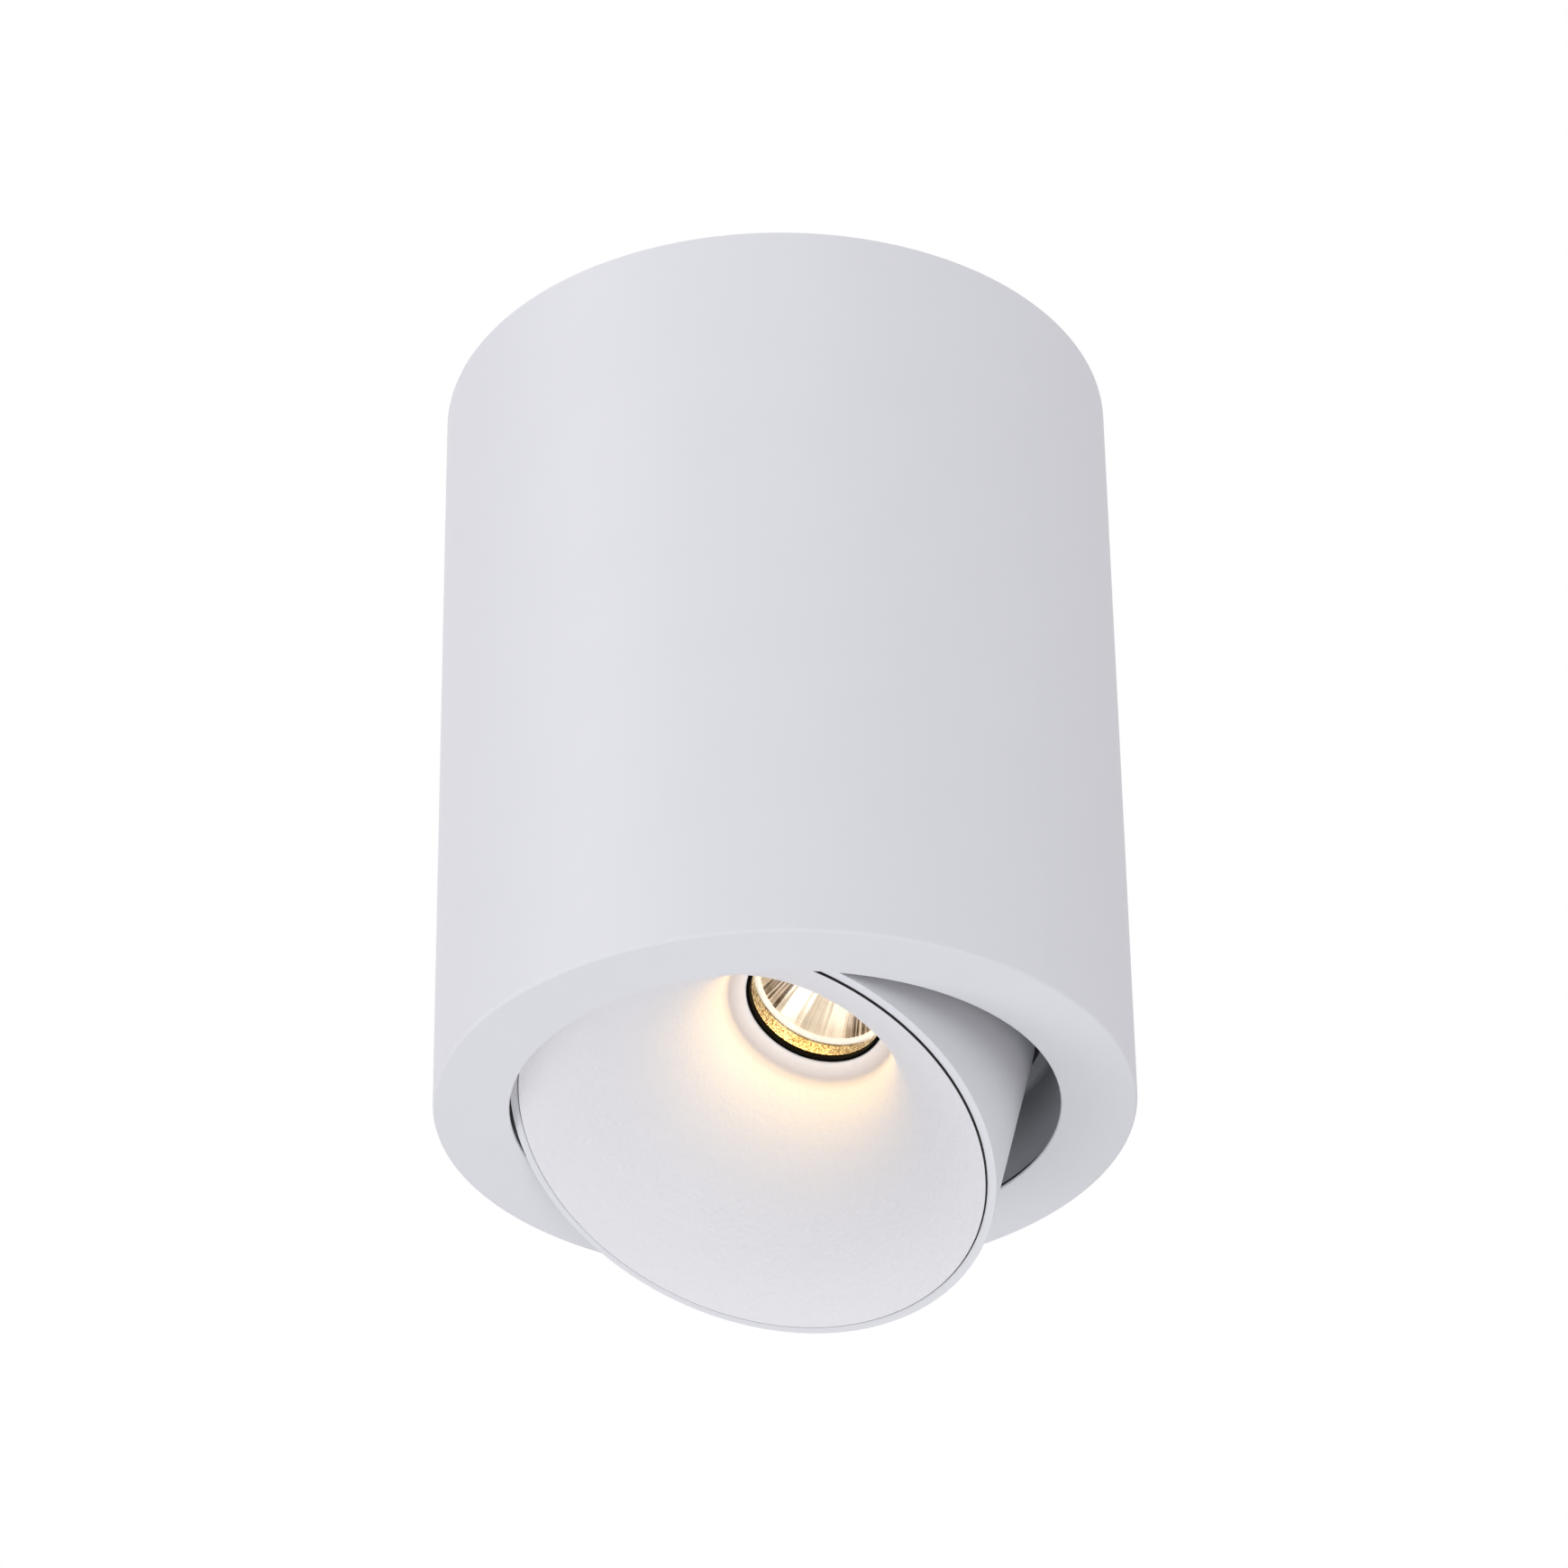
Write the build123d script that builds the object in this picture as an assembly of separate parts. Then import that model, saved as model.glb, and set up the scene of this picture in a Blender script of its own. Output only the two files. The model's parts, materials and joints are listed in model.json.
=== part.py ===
from build123d import *
import math
import os

# Surface mounted ceiling light: a white tube with a lamp head that swivels and tilts in its lower opening.
# Millimetres and degrees. The pieces are modelled above the tube's lower face, with +Z up, and are moved down
# at the end so that the origin is the centre of the face that meets the ceiling.
# The head is modelled flush with that lower face and looking straight down, with depth measured upwards from
# its rim. It is then tilted about its two pivots, so that the beam leans to the front (-Y).

# Lamp head can
RIM_RADIUS = 42.4
LIP_WIDTH = 1.5
LIP_ROUND = 0.12
CAN_BACK_RADIUS = 38.0
CAN_DEPTH = 40.0
CAN_WALL = 1.5
SHOULDER_DEPTH = 5.0
NECK_WALL = 2.5
SEAT_LEDGE = 1.5

# Flared reflector
SEAM_GAP = 0.1
MOUTH_PROUD = 0.5
REFLECTOR_RIM = 2.5
FLARE_RADIUS = 46.6
THROAT_RADIUS = 15.2
THROAT_DEPTH = 34.5
REFLECTOR_WALL = 1.6
APERTURE_RADIUS = 12.45
LEDGE_FALL = 1.7
LEDGE_WALL = 0.8
THROAT_ROUND = 1.0
MOUTH_ROUND = 0.15
APERTURE_ROUND = 0.3

# Light engine behind the aperture
GASKET_LIP = 0.55
GASKET_FLANGE = 0.5
COLLAR_BAND = 3.0
COLLAR_WALL = 1.8
LENS_LAP = 0.8
LENS_THICKNESS = 1.2
CUP_DEPTH = 9.5
CUP_RIM = 1.0
CUP_RIM_WIDTH = 1.2
CUP_THROAT_RADIUS = 6.9
CUP_WALL = 2.1
CUP_FACETS = 16
HOLDER_THICKNESS = 2.8
HOLDER_SCREW_ANGLES = (90.0, 270.0)
BOARD_SIDE = 15.0
BOARD_THICKNESS = 1.0
PHOSPHOR_RADIUS = 5.5
PHOSPHOR_THICKNESS = 0.5
PAD_THICKNESS = 0.3

# Heat sink
SINK_BASE = 4.0
FIN_HEIGHT = 16.0
FIN_THICKNESS = 1.8
FIN_COUNT = 9
SINK_SCREW_COUNT = 3
BOSS_RADIUS = 3.2
BOSS_LENGTH = 8.0

# Tilt pivots
PIVOT_OFFSET = 22.0
PIVOT_HEIGHT = 13.7
PIVOT_RADIUS = 3.5
PIVOT_HEAD_RADIUS = 4.2
PIVOT_HEAD = 2.0
PIVOT_REACH = 5.0
LUG_RADIUS = 5.0
LUG_SETBACK = 1.8
WASHER_THICKNESS = 0.5
WASHER_MARGIN = 0.3
EAR_RADIUS = 6.0
EAR_THICKNESS = 2.5
EAR_FOOT_LENGTH = 7.0
REST_TILT = 26.5
SPARE_TILT = 1.5

# Swivel ring and the pieces that hold it down
SLIDE_RING = 0.8
RING_BASE = 2.0
RING_LEDGE = 2.9
SLEEVE_WALL = 1.8
SLEEVE_LIP = 2.4
SLEEVE_LIP_HEIGHT = 4.6
SLEEVE_LIP_ROUND = 1.2
SLEEVE_HEADROOM = 7.2
WINDOW_MARGIN = 1.0
KEEPER_ARC = 12.0
KEEPER_FOOT = 4.75
KEEPER_TONGUE = 1.0
KEEPER_SCREW_RADIUS = 1.25
KEEPER_SCREW_BITE = 2.0
KEEPER_ANGLES = (30.0, 150.0, 270.0)
STOP_TAB_WIDTH = 3.0
STOP_TAB_HEIGHT = 2.2
STOP_PIN_RADIUS = 1.2
STOP_PIN_BITE = 2.0
STOP_PIN_ANGLE = 90.0

# Housing tube
HOUSING_WALL = 2.0
FLANGE = 3.0
OPENING_EDGE = 0.5
OUTER_ROUND = 0.6
OPENING_ROUND = 0.3

# Gear bay above the head
HEAD_HEADROOM = 6.0
LEAD_RADIUS = 1.3
LEAD_DROP = 10.0
AXIS_BEND = 8.0
WALL_BEND = 20.0
PIVOT_LEAD_BEND = 4.0
LEAD_CLIMB_DEPTH = 26.5
LEAD_END_ANGLE = -30.0
TRAY_THICKNESS = 1.5
TRAY_MARGIN = 3.0
BAY_HEIGHT = 46.5
POST_RADIUS = 3.5
POST_INSET = 8.0
POST_THREAD = 8.0
POST_ANGLES = (0.0, 180.0, 270.0)

# Ceiling plate
PLATE_THICKNESS = 2.0
PLATE_MARGIN = 2.5
SLOT_SPACING = 60.0
SLOT_LENGTH = 14.0
SLOT_WIDTH = 5.2
TAB_WIDTH = 12.0
TAB_DROP = 16.0
SET_SCREW_RADIUS = 2.0
SET_SCREW_LENGTH = 8.0
SET_SCREW_DROP = 9.0
SET_SCREW_INSET = 0.2
SET_SCREW_ANGLES = (45.0, 225.0)
CABLE_BORE = 4.5
GROMMET_RADIUS = 8.0
GROMMET_LIP = 1.5
GROMMET_LIP_THICKNESS = 0.8
GROMMET_FLANGE = 1.5

# Driver and terminal block on the tray
DRIVER_LENGTH = 56.0
DRIVER_WIDTH = 30.0
DRIVER_HEIGHT = 20.0
DRIVER_WALL = 1.5
DRIVER_SETBACK = 7.0
DRIVER_FOOT = 6.0
DRIVER_FOOT_WIDTH = 12.0
DRIVER_FOOT_THICKNESS = 2.0
BOARD_STAND = 4.0
BOARD_MARGIN = 0.5
CIRCUIT_BOARD = 1.6
TRANSFORMER_SIZE = (16.0, 14.0, 9.0)
CAPACITOR_RADIUS = 4.0
CAPACITOR_HEIGHT = 10.0
LIVE_INLET_X = -15.0
NEUTRAL_INLET_X = -7.0
TERMINAL_POLES = 3
TERMINAL_PITCH = 9.5
TERMINAL_DEPTH = 18.0
TERMINAL_HEIGHT = 14.0
TERMINAL_POST_GAP = 2.5
TERMINAL_BORE_HEIGHT = 7.0
SLEEVE_TUBE_RADIUS = 2.4
SLEEVE_TUBE_BORE = 1.6
SLEEVE_TUBE_LENGTH = 16.0
CLAMP_SCREW_SPACING = 8.0
WIRE_RADIUS = 1.0
WIRE_BEND = 4.0
EARTH_TAG_RADIUS = 4.0
EARTH_TAG_THICKNESS = 0.8
EARTH_TAG_X = 27.0
EARTH_TAG_Y = -12.0

# Small screws
SMALL_SCREW_RADIUS = 1.5
SMALL_HEAD_RADIUS = 2.5
SMALL_HEAD = 1.6
SOCKET_SHARE = 0.5

# Clearances
SWING_CLEARANCE = 0.3
SLEEVE_CLEARANCE = 0.3
RUNNING_FIT = 0.05
THREAD_GAP = 0.05
LOOSE_FIT = 0.3
SEAT_GAP = 0.1
SIDE_GAP = 0.4


def rim_reach(tilt, low, high):
    """Furthest distance of the tilted rim from the tube's axis, between two heights over the lower face."""
    lean = math.radians(tilt)
    forward = PIVOT_OFFSET * (1 - math.cos(lean)) + PIVOT_HEIGHT * math.sin(lean)
    drop = PIVOT_HEIGHT * (1 - math.cos(lean)) - PIVOT_OFFSET * math.sin(lean)
    furthest = 0.0
    for step in range(1801):
        around = math.radians(step / 10)
        height = drop + RIM_RADIUS * math.cos(around) * math.sin(lean)
        if low <= height <= high:
            ahead = forward + RIM_RADIUS * math.cos(around) * math.cos(lean)
            furthest = max(furthest, math.hypot(RIM_RADIUS * math.sin(around), ahead))
    return furthest


def can_radius(depth):
    """Outer radius of the tapered can at a depth behind its rim."""
    return RIM_RADIUS + (CAN_BACK_RADIUS - RIM_RADIUS) * depth / CAN_DEPTH


# Radii that follow from the rim and from its swing
MOST_TILT = REST_TILT + SPARE_TILT
OPENING_RADIUS = rim_reach(MOST_TILT, 0, OPENING_EDGE) + SWING_CLEARANCE
SLEEVE_IN = rim_reach(MOST_TILT, 0, RIM_RADIUS) + SLEEVE_CLEARANCE
SLEEVE_OUT = SLEEVE_IN + SLEEVE_WALL
RING_OUT = SLEEVE_OUT + RING_LEDGE
TONGUE_IN = SLEEVE_OUT + 2 * SIDE_GAP
KEEPER_IN = RING_OUT + SIDE_GAP
KEEPER_OUT = KEEPER_IN + KEEPER_FOOT
HOUSING_INNER = KEEPER_OUT + LOOSE_FIT
HOUSING_RADIUS = HOUSING_INNER + HOUSING_WALL
KEEPER_CIRCLE = (KEEPER_IN + KEEPER_OUT) / 2
STOP_CIRCLE = HOUSING_INNER - STOP_PIN_RADIUS - LOOSE_FIT
TRAY_RADIUS = HOUSING_INNER - TRAY_MARGIN
PLATE_RADIUS = HOUSING_INNER - PLATE_MARGIN
POST_CIRCLE = TRAY_RADIUS - POST_INSET

# Depths behind the rim, from the reflector back to the fin tips
MOUTH_RADIUS = RIM_RADIUS - LIP_WIDTH - SEAM_GAP
LEDGE_DEPTH = THROAT_DEPTH + LEDGE_FALL
REFLECTOR_BACK = LEDGE_DEPTH + REFLECTOR_WALL
SEAL_SEAT = LEDGE_DEPTH + LEDGE_WALL
COLLAR_FRONT = SEAL_SEAT + GASKET_FLANGE
LENS_FRONT = COLLAR_FRONT + COLLAR_BAND
CUP_FRONT = LENS_FRONT + LENS_THICKNESS
HOLDER_FRONT = CUP_FRONT + CUP_DEPTH
SINK_FACE = HOLDER_FRONT + HOLDER_THICKNESS
FIN_ROOT = SINK_FACE + SINK_BASE
FIN_TIP = FIN_ROOT + FIN_HEIGHT

# Radii of the light engine, from the aperture outwards to the neck
GASKET_BORE = APERTURE_RADIUS - SEAT_GAP - GASKET_LIP
COLLAR_BORE = GASKET_BORE + SIDE_GAP
LENS_RADIUS = COLLAR_BORE + LENS_LAP
SKIRT_BORE = LENS_RADIUS + SEAT_GAP + LENS_LAP
COLLAR_RADIUS = SKIRT_BORE + COLLAR_WALL
HOLDER_SCREW_CIRCLE = COLLAR_RADIUS + SMALL_HEAD_RADIUS + SIDE_GAP
HOLDER_RADIUS = HOLDER_SCREW_CIRCLE + SMALL_HEAD_RADIUS + SIDE_GAP
BOSS_CIRCLE = HOLDER_RADIUS + BOSS_RADIUS + SIDE_GAP
NECK_INNER = BOSS_CIRCLE + BOSS_RADIUS / 2
NECK_RADIUS = NECK_INNER + NECK_WALL

# Distances along the pivots, from the middle of the head outwards
LUG_FACE = RIM_RADIUS - LUG_SETBACK
EAR_IN = LUG_FACE + WASHER_THICKNESS
EAR_OUT = EAR_IN + EAR_THICKNESS
PIVOT_HEAD_IN = EAR_OUT + WASHER_THICKNESS
PIVOT_HEAD_OUT = PIVOT_HEAD_IN + PIVOT_HEAD
LEAD_SPLIT = (EAR_IN + EAR_OUT) / 2

# Heights over the lower face
RING_BOTTOM = FLANGE + SLIDE_RING
RING_TOP = RING_BOTTOM + RING_BASE
KEEPER_UNDER = RING_TOP + LOOSE_FIT
KEEPER_TOP = KEEPER_UNDER + KEEPER_TONGUE
STOP_TAB_BOTTOM = KEEPER_TOP + SMALL_HEAD + LOOSE_FIT
STOP_TAB_TOP = STOP_TAB_BOTTOM + STOP_TAB_HEIGHT
STOP_PIN_TOP = STOP_TAB_TOP + LOOSE_FIT
SLEEVE_TOP = PIVOT_HEIGHT + SLEEVE_HEADROOM
LEAD_LEVEL = FIN_TIP + HEAD_HEADROOM
TRAY_BOTTOM = LEAD_LEVEL + LEAD_DROP
TRAY_TOP = TRAY_BOTTOM + TRAY_THICKNESS
PLATE_BOTTOM = TRAY_TOP + BAY_HEIGHT
HEIGHT = PLATE_BOTTOM + PLATE_THICKNESS

# Layout of the gear on the tray
DRIVER_Y = DRIVER_SETBACK + DRIVER_WIDTH / 2
DRIVER_FLOOR = TRAY_TOP + DRIVER_WALL
DRIVER_TOP = TRAY_TOP + DRIVER_HEIGHT
BOARD_BOTTOM = DRIVER_FLOOR + BOARD_STAND
BOARD_TOP = BOARD_BOTTOM + CIRCUIT_BOARD
BOARD_LENGTH = DRIVER_LENGTH - 2 * (DRIVER_WALL + BOARD_MARGIN)
BOARD_WIDTH = DRIVER_WIDTH - 2 * (DRIVER_WALL + BOARD_MARGIN)
LEAD_INLET_Z = BOARD_TOP + 2 * LEAD_RADIUS
WIRE_INLET_Z = LEAD_INLET_Z + 2 * LEAD_RADIUS
TERMINAL_SETBACK = POST_CIRCLE - POST_RADIUS - TERMINAL_POST_GAP - TERMINAL_DEPTH
TERMINAL_Y = -TERMINAL_SETBACK - TERMINAL_DEPTH / 2
TERMINAL_Z = TRAY_TOP + TERMINAL_BORE_HEIGHT
TERMINAL_WIDTH = TERMINAL_POLES * TERMINAL_PITCH


def disc(radius, low, high):
    """Round plate about Z between two heights."""
    return Pos(0, 0, (low + high) / 2) * Cylinder(radius, high - low)


def washer(inner, outer, low, high):
    """Flat ring about Z between two heights."""
    return disc(outer, low, high) - disc(inner, low, high)


def block(low, high):
    """Box between two opposite corners."""
    size = [b - a for a, b in zip(low, high)]
    middle = [(a + b) / 2 for a, b in zip(low, high)]
    return Pos(*middle) * Box(*size)


def turned(points, arc=360.0):
    """Solid turned about Z from an outline of (radius, height) points."""
    return revolve(Plane.XZ * make_face(Polyline(*points, close=True)), Axis.Z, revolution_arc=arc)


def pivot_bar(radius, start, end):
    """Round bar on the pivot axis between two distances along X."""
    place = Pos((start + end) / 2, -PIVOT_OFFSET, PIVOT_HEIGHT) * Rot(0, 90, 0)
    return place * Cylinder(radius, abs(end - start))


def circle_edges(shape, radius, height):
    """Round edges of a turned solid at one radius and height."""
    near = 1e-4
    rounds = shape.edges().filter_by(GeomType.CIRCLE)
    return [e for e in rounds if abs(e.radius - radius) < near and abs(e.center().Z - height) < near]


def screw(radius, length, head_radius, head):
    """Pan head screw that points down, with the head's underside at the origin and a hexagon socket."""
    body = disc(head_radius, 0, head) + disc(radius, -length, 0)
    socket = extrude(RegularPolygon(head_radius * SOCKET_SHARE, 6), head * SOCKET_SHARE)
    return body - Pos(0, 0, head * (1 - SOCKET_SHARE)) * socket


def group(shapes):
    """Separate solids that share one node."""
    first, *rest = shapes
    for shape in rest:
        first = first + shape
    return first


def around(radius, angles, shape):
    """Copies of a shape at one radius and several angles about Z."""
    return [Rot(0, 0, angle) * Pos(radius, 0, 0) * shape for angle in angles]


def lead(points, radius, bend):
    """Round lead along straight runs joined by tangent arcs."""
    path = FilletPolyline(*points, radius=bend)
    section = Plane(origin=path @ 0, z_dir=path % 0) * Circle(radius)
    return sweep(section, path=path)


def flare_arc(radius, start_depth=None):
    """Arc of the flare at one radius about its centre, from the mouth or a given depth to the throat."""
    mouth = Vector(MOUTH_RADIUS, -MOUTH_PROUD)
    throat = Vector(THROAT_RADIUS, THROAT_DEPTH)
    chord = throat - mouth
    rise = math.sqrt(FLARE_RADIUS**2 - (chord.length / 2) ** 2)
    across = Vector(chord.Y, -chord.X).normalized()
    centre = (mouth + throat) * 0.5 + across * rise
    end = centre + (throat - centre).normalized() * radius
    if start_depth is None:
        start = centre + (mouth - centre).normalized() * radius
    else:
        start = Vector(centre.X - math.sqrt(radius**2 - (centre.Y - start_depth) ** 2), start_depth)
    middle = centre + ((start + end) * 0.5 - centre).normalized() * radius
    return start, middle, end


def housing():
    """Tube with its turned-in lower flange, the opening, the set screw holes and the blind holes inside."""
    opening_top = OPENING_RADIUS + FLANGE - OPENING_EDGE
    body = turned(
        [
            (OPENING_RADIUS, 0),
            (HOUSING_RADIUS, 0),
            (HOUSING_RADIUS, HEIGHT),
            (HOUSING_INNER, HEIGHT),
            (HOUSING_INNER, FLANGE),
            (opening_top, FLANGE),
            (OPENING_RADIUS, OPENING_EDGE),
        ]
    )
    body = fillet(circle_edges(body, HOUSING_RADIUS, 0), OUTER_ROUND)
    body = fillet(circle_edges(body, OPENING_RADIUS, 0), OPENING_ROUND)
    side_hole = Pos(0, 0, HEIGHT - SET_SCREW_DROP) * Rot(0, 90, 0) * Cylinder(
        SET_SCREW_RADIUS + LOOSE_FIT, 3 * HOUSING_WALL
    )
    screw_hole = disc(KEEPER_SCREW_RADIUS + THREAD_GAP, FLANGE - KEEPER_SCREW_BITE - SEAT_GAP, FLANGE)
    pin_hole = disc(STOP_PIN_RADIUS + THREAD_GAP, FLANGE - STOP_PIN_BITE, FLANGE)
    for hole in around(HOUSING_RADIUS, SET_SCREW_ANGLES, side_hole):
        body -= hole
    for hole in around(KEEPER_CIRCLE, KEEPER_ANGLES, screw_hole):
        body -= hole
    for hole in around(STOP_CIRCLE, (STOP_PIN_ANGLE,), pin_hole):
        body -= hole
    return body


def slide_ring():
    """Low-friction washer that the swivel ring turns on."""
    opening_top = OPENING_RADIUS + FLANGE - OPENING_EDGE
    return washer(opening_top + 2 * SIDE_GAP, RING_OUT - SEAT_GAP, FLANGE, RING_BOTTOM)


def swivel_ring():
    """Turning carrier: base ring, sleeve with an inner lip, two ears for the pivots and a stop tab."""
    nest = OPENING_EDGE + SLEEVE_IN - OPENING_RADIUS + SIDE_GAP
    body = turned(
        [
            (SLEEVE_IN, nest),
            (SLEEVE_IN + RING_BOTTOM - nest, RING_BOTTOM),
            (RING_OUT, RING_BOTTOM),
            (RING_OUT, RING_TOP),
            (SLEEVE_OUT, RING_TOP),
            (SLEEVE_OUT, SLEEVE_TOP),
            (SLEEVE_IN - SLEEVE_LIP, SLEEVE_TOP),
            (SLEEVE_IN - SLEEVE_LIP, SLEEVE_TOP - SLEEVE_LIP_HEIGHT),
            (SLEEVE_IN, SLEEVE_TOP - SLEEVE_LIP_HEIGHT),
        ]
    )
    body = fillet(circle_edges(body, SLEEVE_IN, SLEEVE_TOP - SLEEVE_LIP_HEIGHT), SLEEVE_LIP_ROUND)
    foot_front = -math.sqrt((TONGUE_IN - SIDE_GAP) ** 2 - EAR_OUT**2)
    foot_back = foot_front + EAR_FOOT_LENGTH
    window_front = -PIVOT_OFFSET - EAR_RADIUS - WINDOW_MARGIN
    window_back = foot_back + WINDOW_MARGIN
    for side in (-1, 1):
        near, far = sorted((side * (LUG_FACE - LUG_RADIUS), side * RING_OUT * 2))
        body -= block((near, window_front, RING_TOP), (far, window_back, SLEEVE_TOP * 2))
    outline = make_face(
        Polyline(
            (foot_front, RING_BOTTOM),
            (foot_back, RING_BOTTOM),
            (EAR_RADIUS - PIVOT_OFFSET, PIVOT_HEIGHT),
            (-PIVOT_OFFSET, PIVOT_HEIGHT),
            close=True,
        )
    )
    ear = outline + Pos(-PIVOT_OFFSET, PIVOT_HEIGHT) * Circle(EAR_RADIUS)
    for start in (EAR_IN, -EAR_OUT):
        body += extrude(Plane.YZ.offset(start) * ear, EAR_THICKNESS)
    body -= pivot_bar(PIVOT_RADIUS + RUNNING_FIT, -HOUSING_RADIUS, HOUSING_RADIUS)
    half = STOP_TAB_WIDTH / 2
    tip = STOP_CIRCLE + LOOSE_FIT
    body += block((-half, -tip, STOP_TAB_BOTTOM), (half, -SLEEVE_OUT + SIDE_GAP, STOP_TAB_TOP))
    return body


def ring_keepers():
    """Three clips on the flange whose tongues hold the swivel ring down."""
    outline = [
        (KEEPER_IN, FLANGE),
        (KEEPER_OUT, FLANGE),
        (KEEPER_OUT, KEEPER_TOP),
        (TONGUE_IN, KEEPER_TOP),
        (TONGUE_IN, KEEPER_UNDER),
        (KEEPER_IN, KEEPER_UNDER),
    ]
    clip = Rot(0, 0, -KEEPER_ARC / 2) * turned(outline, KEEPER_ARC)
    clip -= Pos(KEEPER_CIRCLE, 0, 0) * disc(KEEPER_SCREW_RADIUS + SEAT_GAP, FLANGE, KEEPER_TOP)
    return group(around(0, KEEPER_ANGLES, clip))


def keeper_screws():
    """Screws that fix the ring keepers to the flange."""
    length = KEEPER_TOP - FLANGE + KEEPER_SCREW_BITE
    one = Pos(0, 0, KEEPER_TOP) * screw(KEEPER_SCREW_RADIUS, length, KEEPER_FOOT / 2 - SEAT_GAP, SMALL_HEAD)
    return group(around(KEEPER_CIRCLE, KEEPER_ANGLES, one))


def stop_pin():
    """Pin in the flange that ends the swivel's turn."""
    pin = disc(STOP_PIN_RADIUS, FLANGE - STOP_PIN_BITE, STOP_PIN_TOP)
    return group(around(STOP_CIRCLE, (STOP_PIN_ANGLE,), pin))


def head_can():
    """Tapered can with its thin lip, reflector ledge, shoulder, neck, screw bosses and two pivot lugs."""
    shoulder_end = CAN_DEPTH + SHOULDER_DEPTH
    outside = turned(
        [
            (0, 0),
            (RIM_RADIUS, 0),
            (CAN_BACK_RADIUS, CAN_DEPTH),
            (NECK_RADIUS, shoulder_end),
            (NECK_RADIUS, SINK_FACE),
            (0, SINK_FACE),
        ]
    )
    outside = fillet(circle_edges(outside, RIM_RADIUS, 0), LIP_ROUND)
    for side in (-1, 1):
        outside += pivot_bar(LUG_RADIUS, side * LUG_FACE, side * (LUG_FACE - 2 * LUG_RADIUS))
    seat_start, _, _ = flare_arc(FLARE_RADIUS - REFLECTOR_WALL, REFLECTOR_RIM)
    ledge_radius = seat_start.X + SEAT_GAP
    ledge_back = REFLECTOR_RIM + SEAT_LEDGE
    inside = turned(
        [
            (0, 0),
            (RIM_RADIUS - LIP_WIDTH, 0),
            (RIM_RADIUS - LIP_WIDTH, REFLECTOR_RIM),
            (ledge_radius, REFLECTOR_RIM),
            (ledge_radius, ledge_back),
            (can_radius(ledge_back) - CAN_WALL, ledge_back),
            (CAN_BACK_RADIUS - CAN_WALL, CAN_DEPTH - CAN_WALL / 2),
            (NECK_INNER, shoulder_end),
            (NECK_INNER, SINK_FACE),
            (0, SINK_FACE),
        ]
    )
    body = outside - inside
    boss = disc(BOSS_RADIUS, SINK_FACE - BOSS_LENGTH, SINK_FACE)
    hole = disc(SMALL_SCREW_RADIUS + THREAD_GAP, SINK_FACE - BOSS_LENGTH, SINK_FACE)
    for peg in around(BOSS_CIRCLE, sink_screw_angles(), boss):
        body += peg & disc(NECK_RADIUS - NECK_WALL / 2, 0, FIN_TIP)
    for bore in around(BOSS_CIRCLE, sink_screw_angles(), hole):
        body -= bore
    return body - pivot_bar(PIVOT_RADIUS + THREAD_GAP, -HOUSING_RADIUS, HOUSING_RADIUS)


def sink_screw_angles():
    """Angles of the heat sink's screws, the first one at the front."""
    return [270 + 360 * step / SINK_SCREW_COUNT for step in range(SINK_SCREW_COUNT)]


def reflector():
    """Flared white reflector, just proud of the lip, with a ledge and a seal seat round its aperture."""
    front = flare_arc(FLARE_RADIUS)
    back = flare_arc(FLARE_RADIUS - REFLECTOR_WALL, REFLECTOR_RIM)
    seat = COLLAR_RADIUS + SEAT_GAP
    outline = [
        ThreePointArc(*front),
        Line(front[2], (APERTURE_RADIUS, LEDGE_DEPTH)),
        Line((APERTURE_RADIUS, LEDGE_DEPTH), (APERTURE_RADIUS, SEAL_SEAT)),
        Line((APERTURE_RADIUS, SEAL_SEAT), (seat, SEAL_SEAT)),
        Line((seat, SEAL_SEAT), (seat, REFLECTOR_BACK)),
        Line((seat, REFLECTOR_BACK), (back[2].X, REFLECTOR_BACK)),
        Line((back[2].X, REFLECTOR_BACK), back[2]),
        ThreePointArc(*reversed(back)),
        Line(back[0], (MOUTH_RADIUS, REFLECTOR_RIM)),
        Line((MOUTH_RADIUS, REFLECTOR_RIM), front[0]),
    ]
    body = revolve(Plane.XZ * make_face(outline), Axis.Z)
    body = fillet(circle_edges(body, THROAT_RADIUS, THROAT_DEPTH), THROAT_ROUND)
    body = fillet(circle_edges(body, MOUTH_RADIUS, -MOUTH_PROUD), MOUTH_ROUND)
    return fillet(circle_edges(body, APERTURE_RADIUS, LEDGE_DEPTH), APERTURE_ROUND)


def aperture_gasket():
    """Black seal with a thin lip inside the aperture and a flange in the seat behind it."""
    return turned(
        [
            (GASKET_BORE, LEDGE_DEPTH + SEAT_GAP),
            (GASKET_BORE + GASKET_LIP, LEDGE_DEPTH + SEAT_GAP),
            (GASKET_BORE + GASKET_LIP, SEAL_SEAT),
            (COLLAR_RADIUS, SEAL_SEAT),
            (COLLAR_RADIUS, COLLAR_FRONT),
            (GASKET_BORE, COLLAR_FRONT),
        ]
    )


def lens_collar():
    """Gold ring with the band in front of the lens and a skirt round the optic cup."""
    pocket = LENS_RADIUS + SEAT_GAP
    return turned(
        [
            (COLLAR_BORE, COLLAR_FRONT),
            (COLLAR_RADIUS, COLLAR_FRONT),
            (COLLAR_RADIUS, HOLDER_FRONT),
            (SKIRT_BORE, HOLDER_FRONT),
            (SKIRT_BORE, CUP_FRONT + CUP_RIM),
            (pocket, CUP_FRONT + CUP_RIM),
            (pocket, LENS_FRONT),
            (COLLAR_BORE, LENS_FRONT),
        ]
    )


def lens():
    """Clear disc between the collar's shoulder and the optic cup."""
    return disc(LENS_RADIUS, LENS_FRONT, CUP_FRONT)


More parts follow.
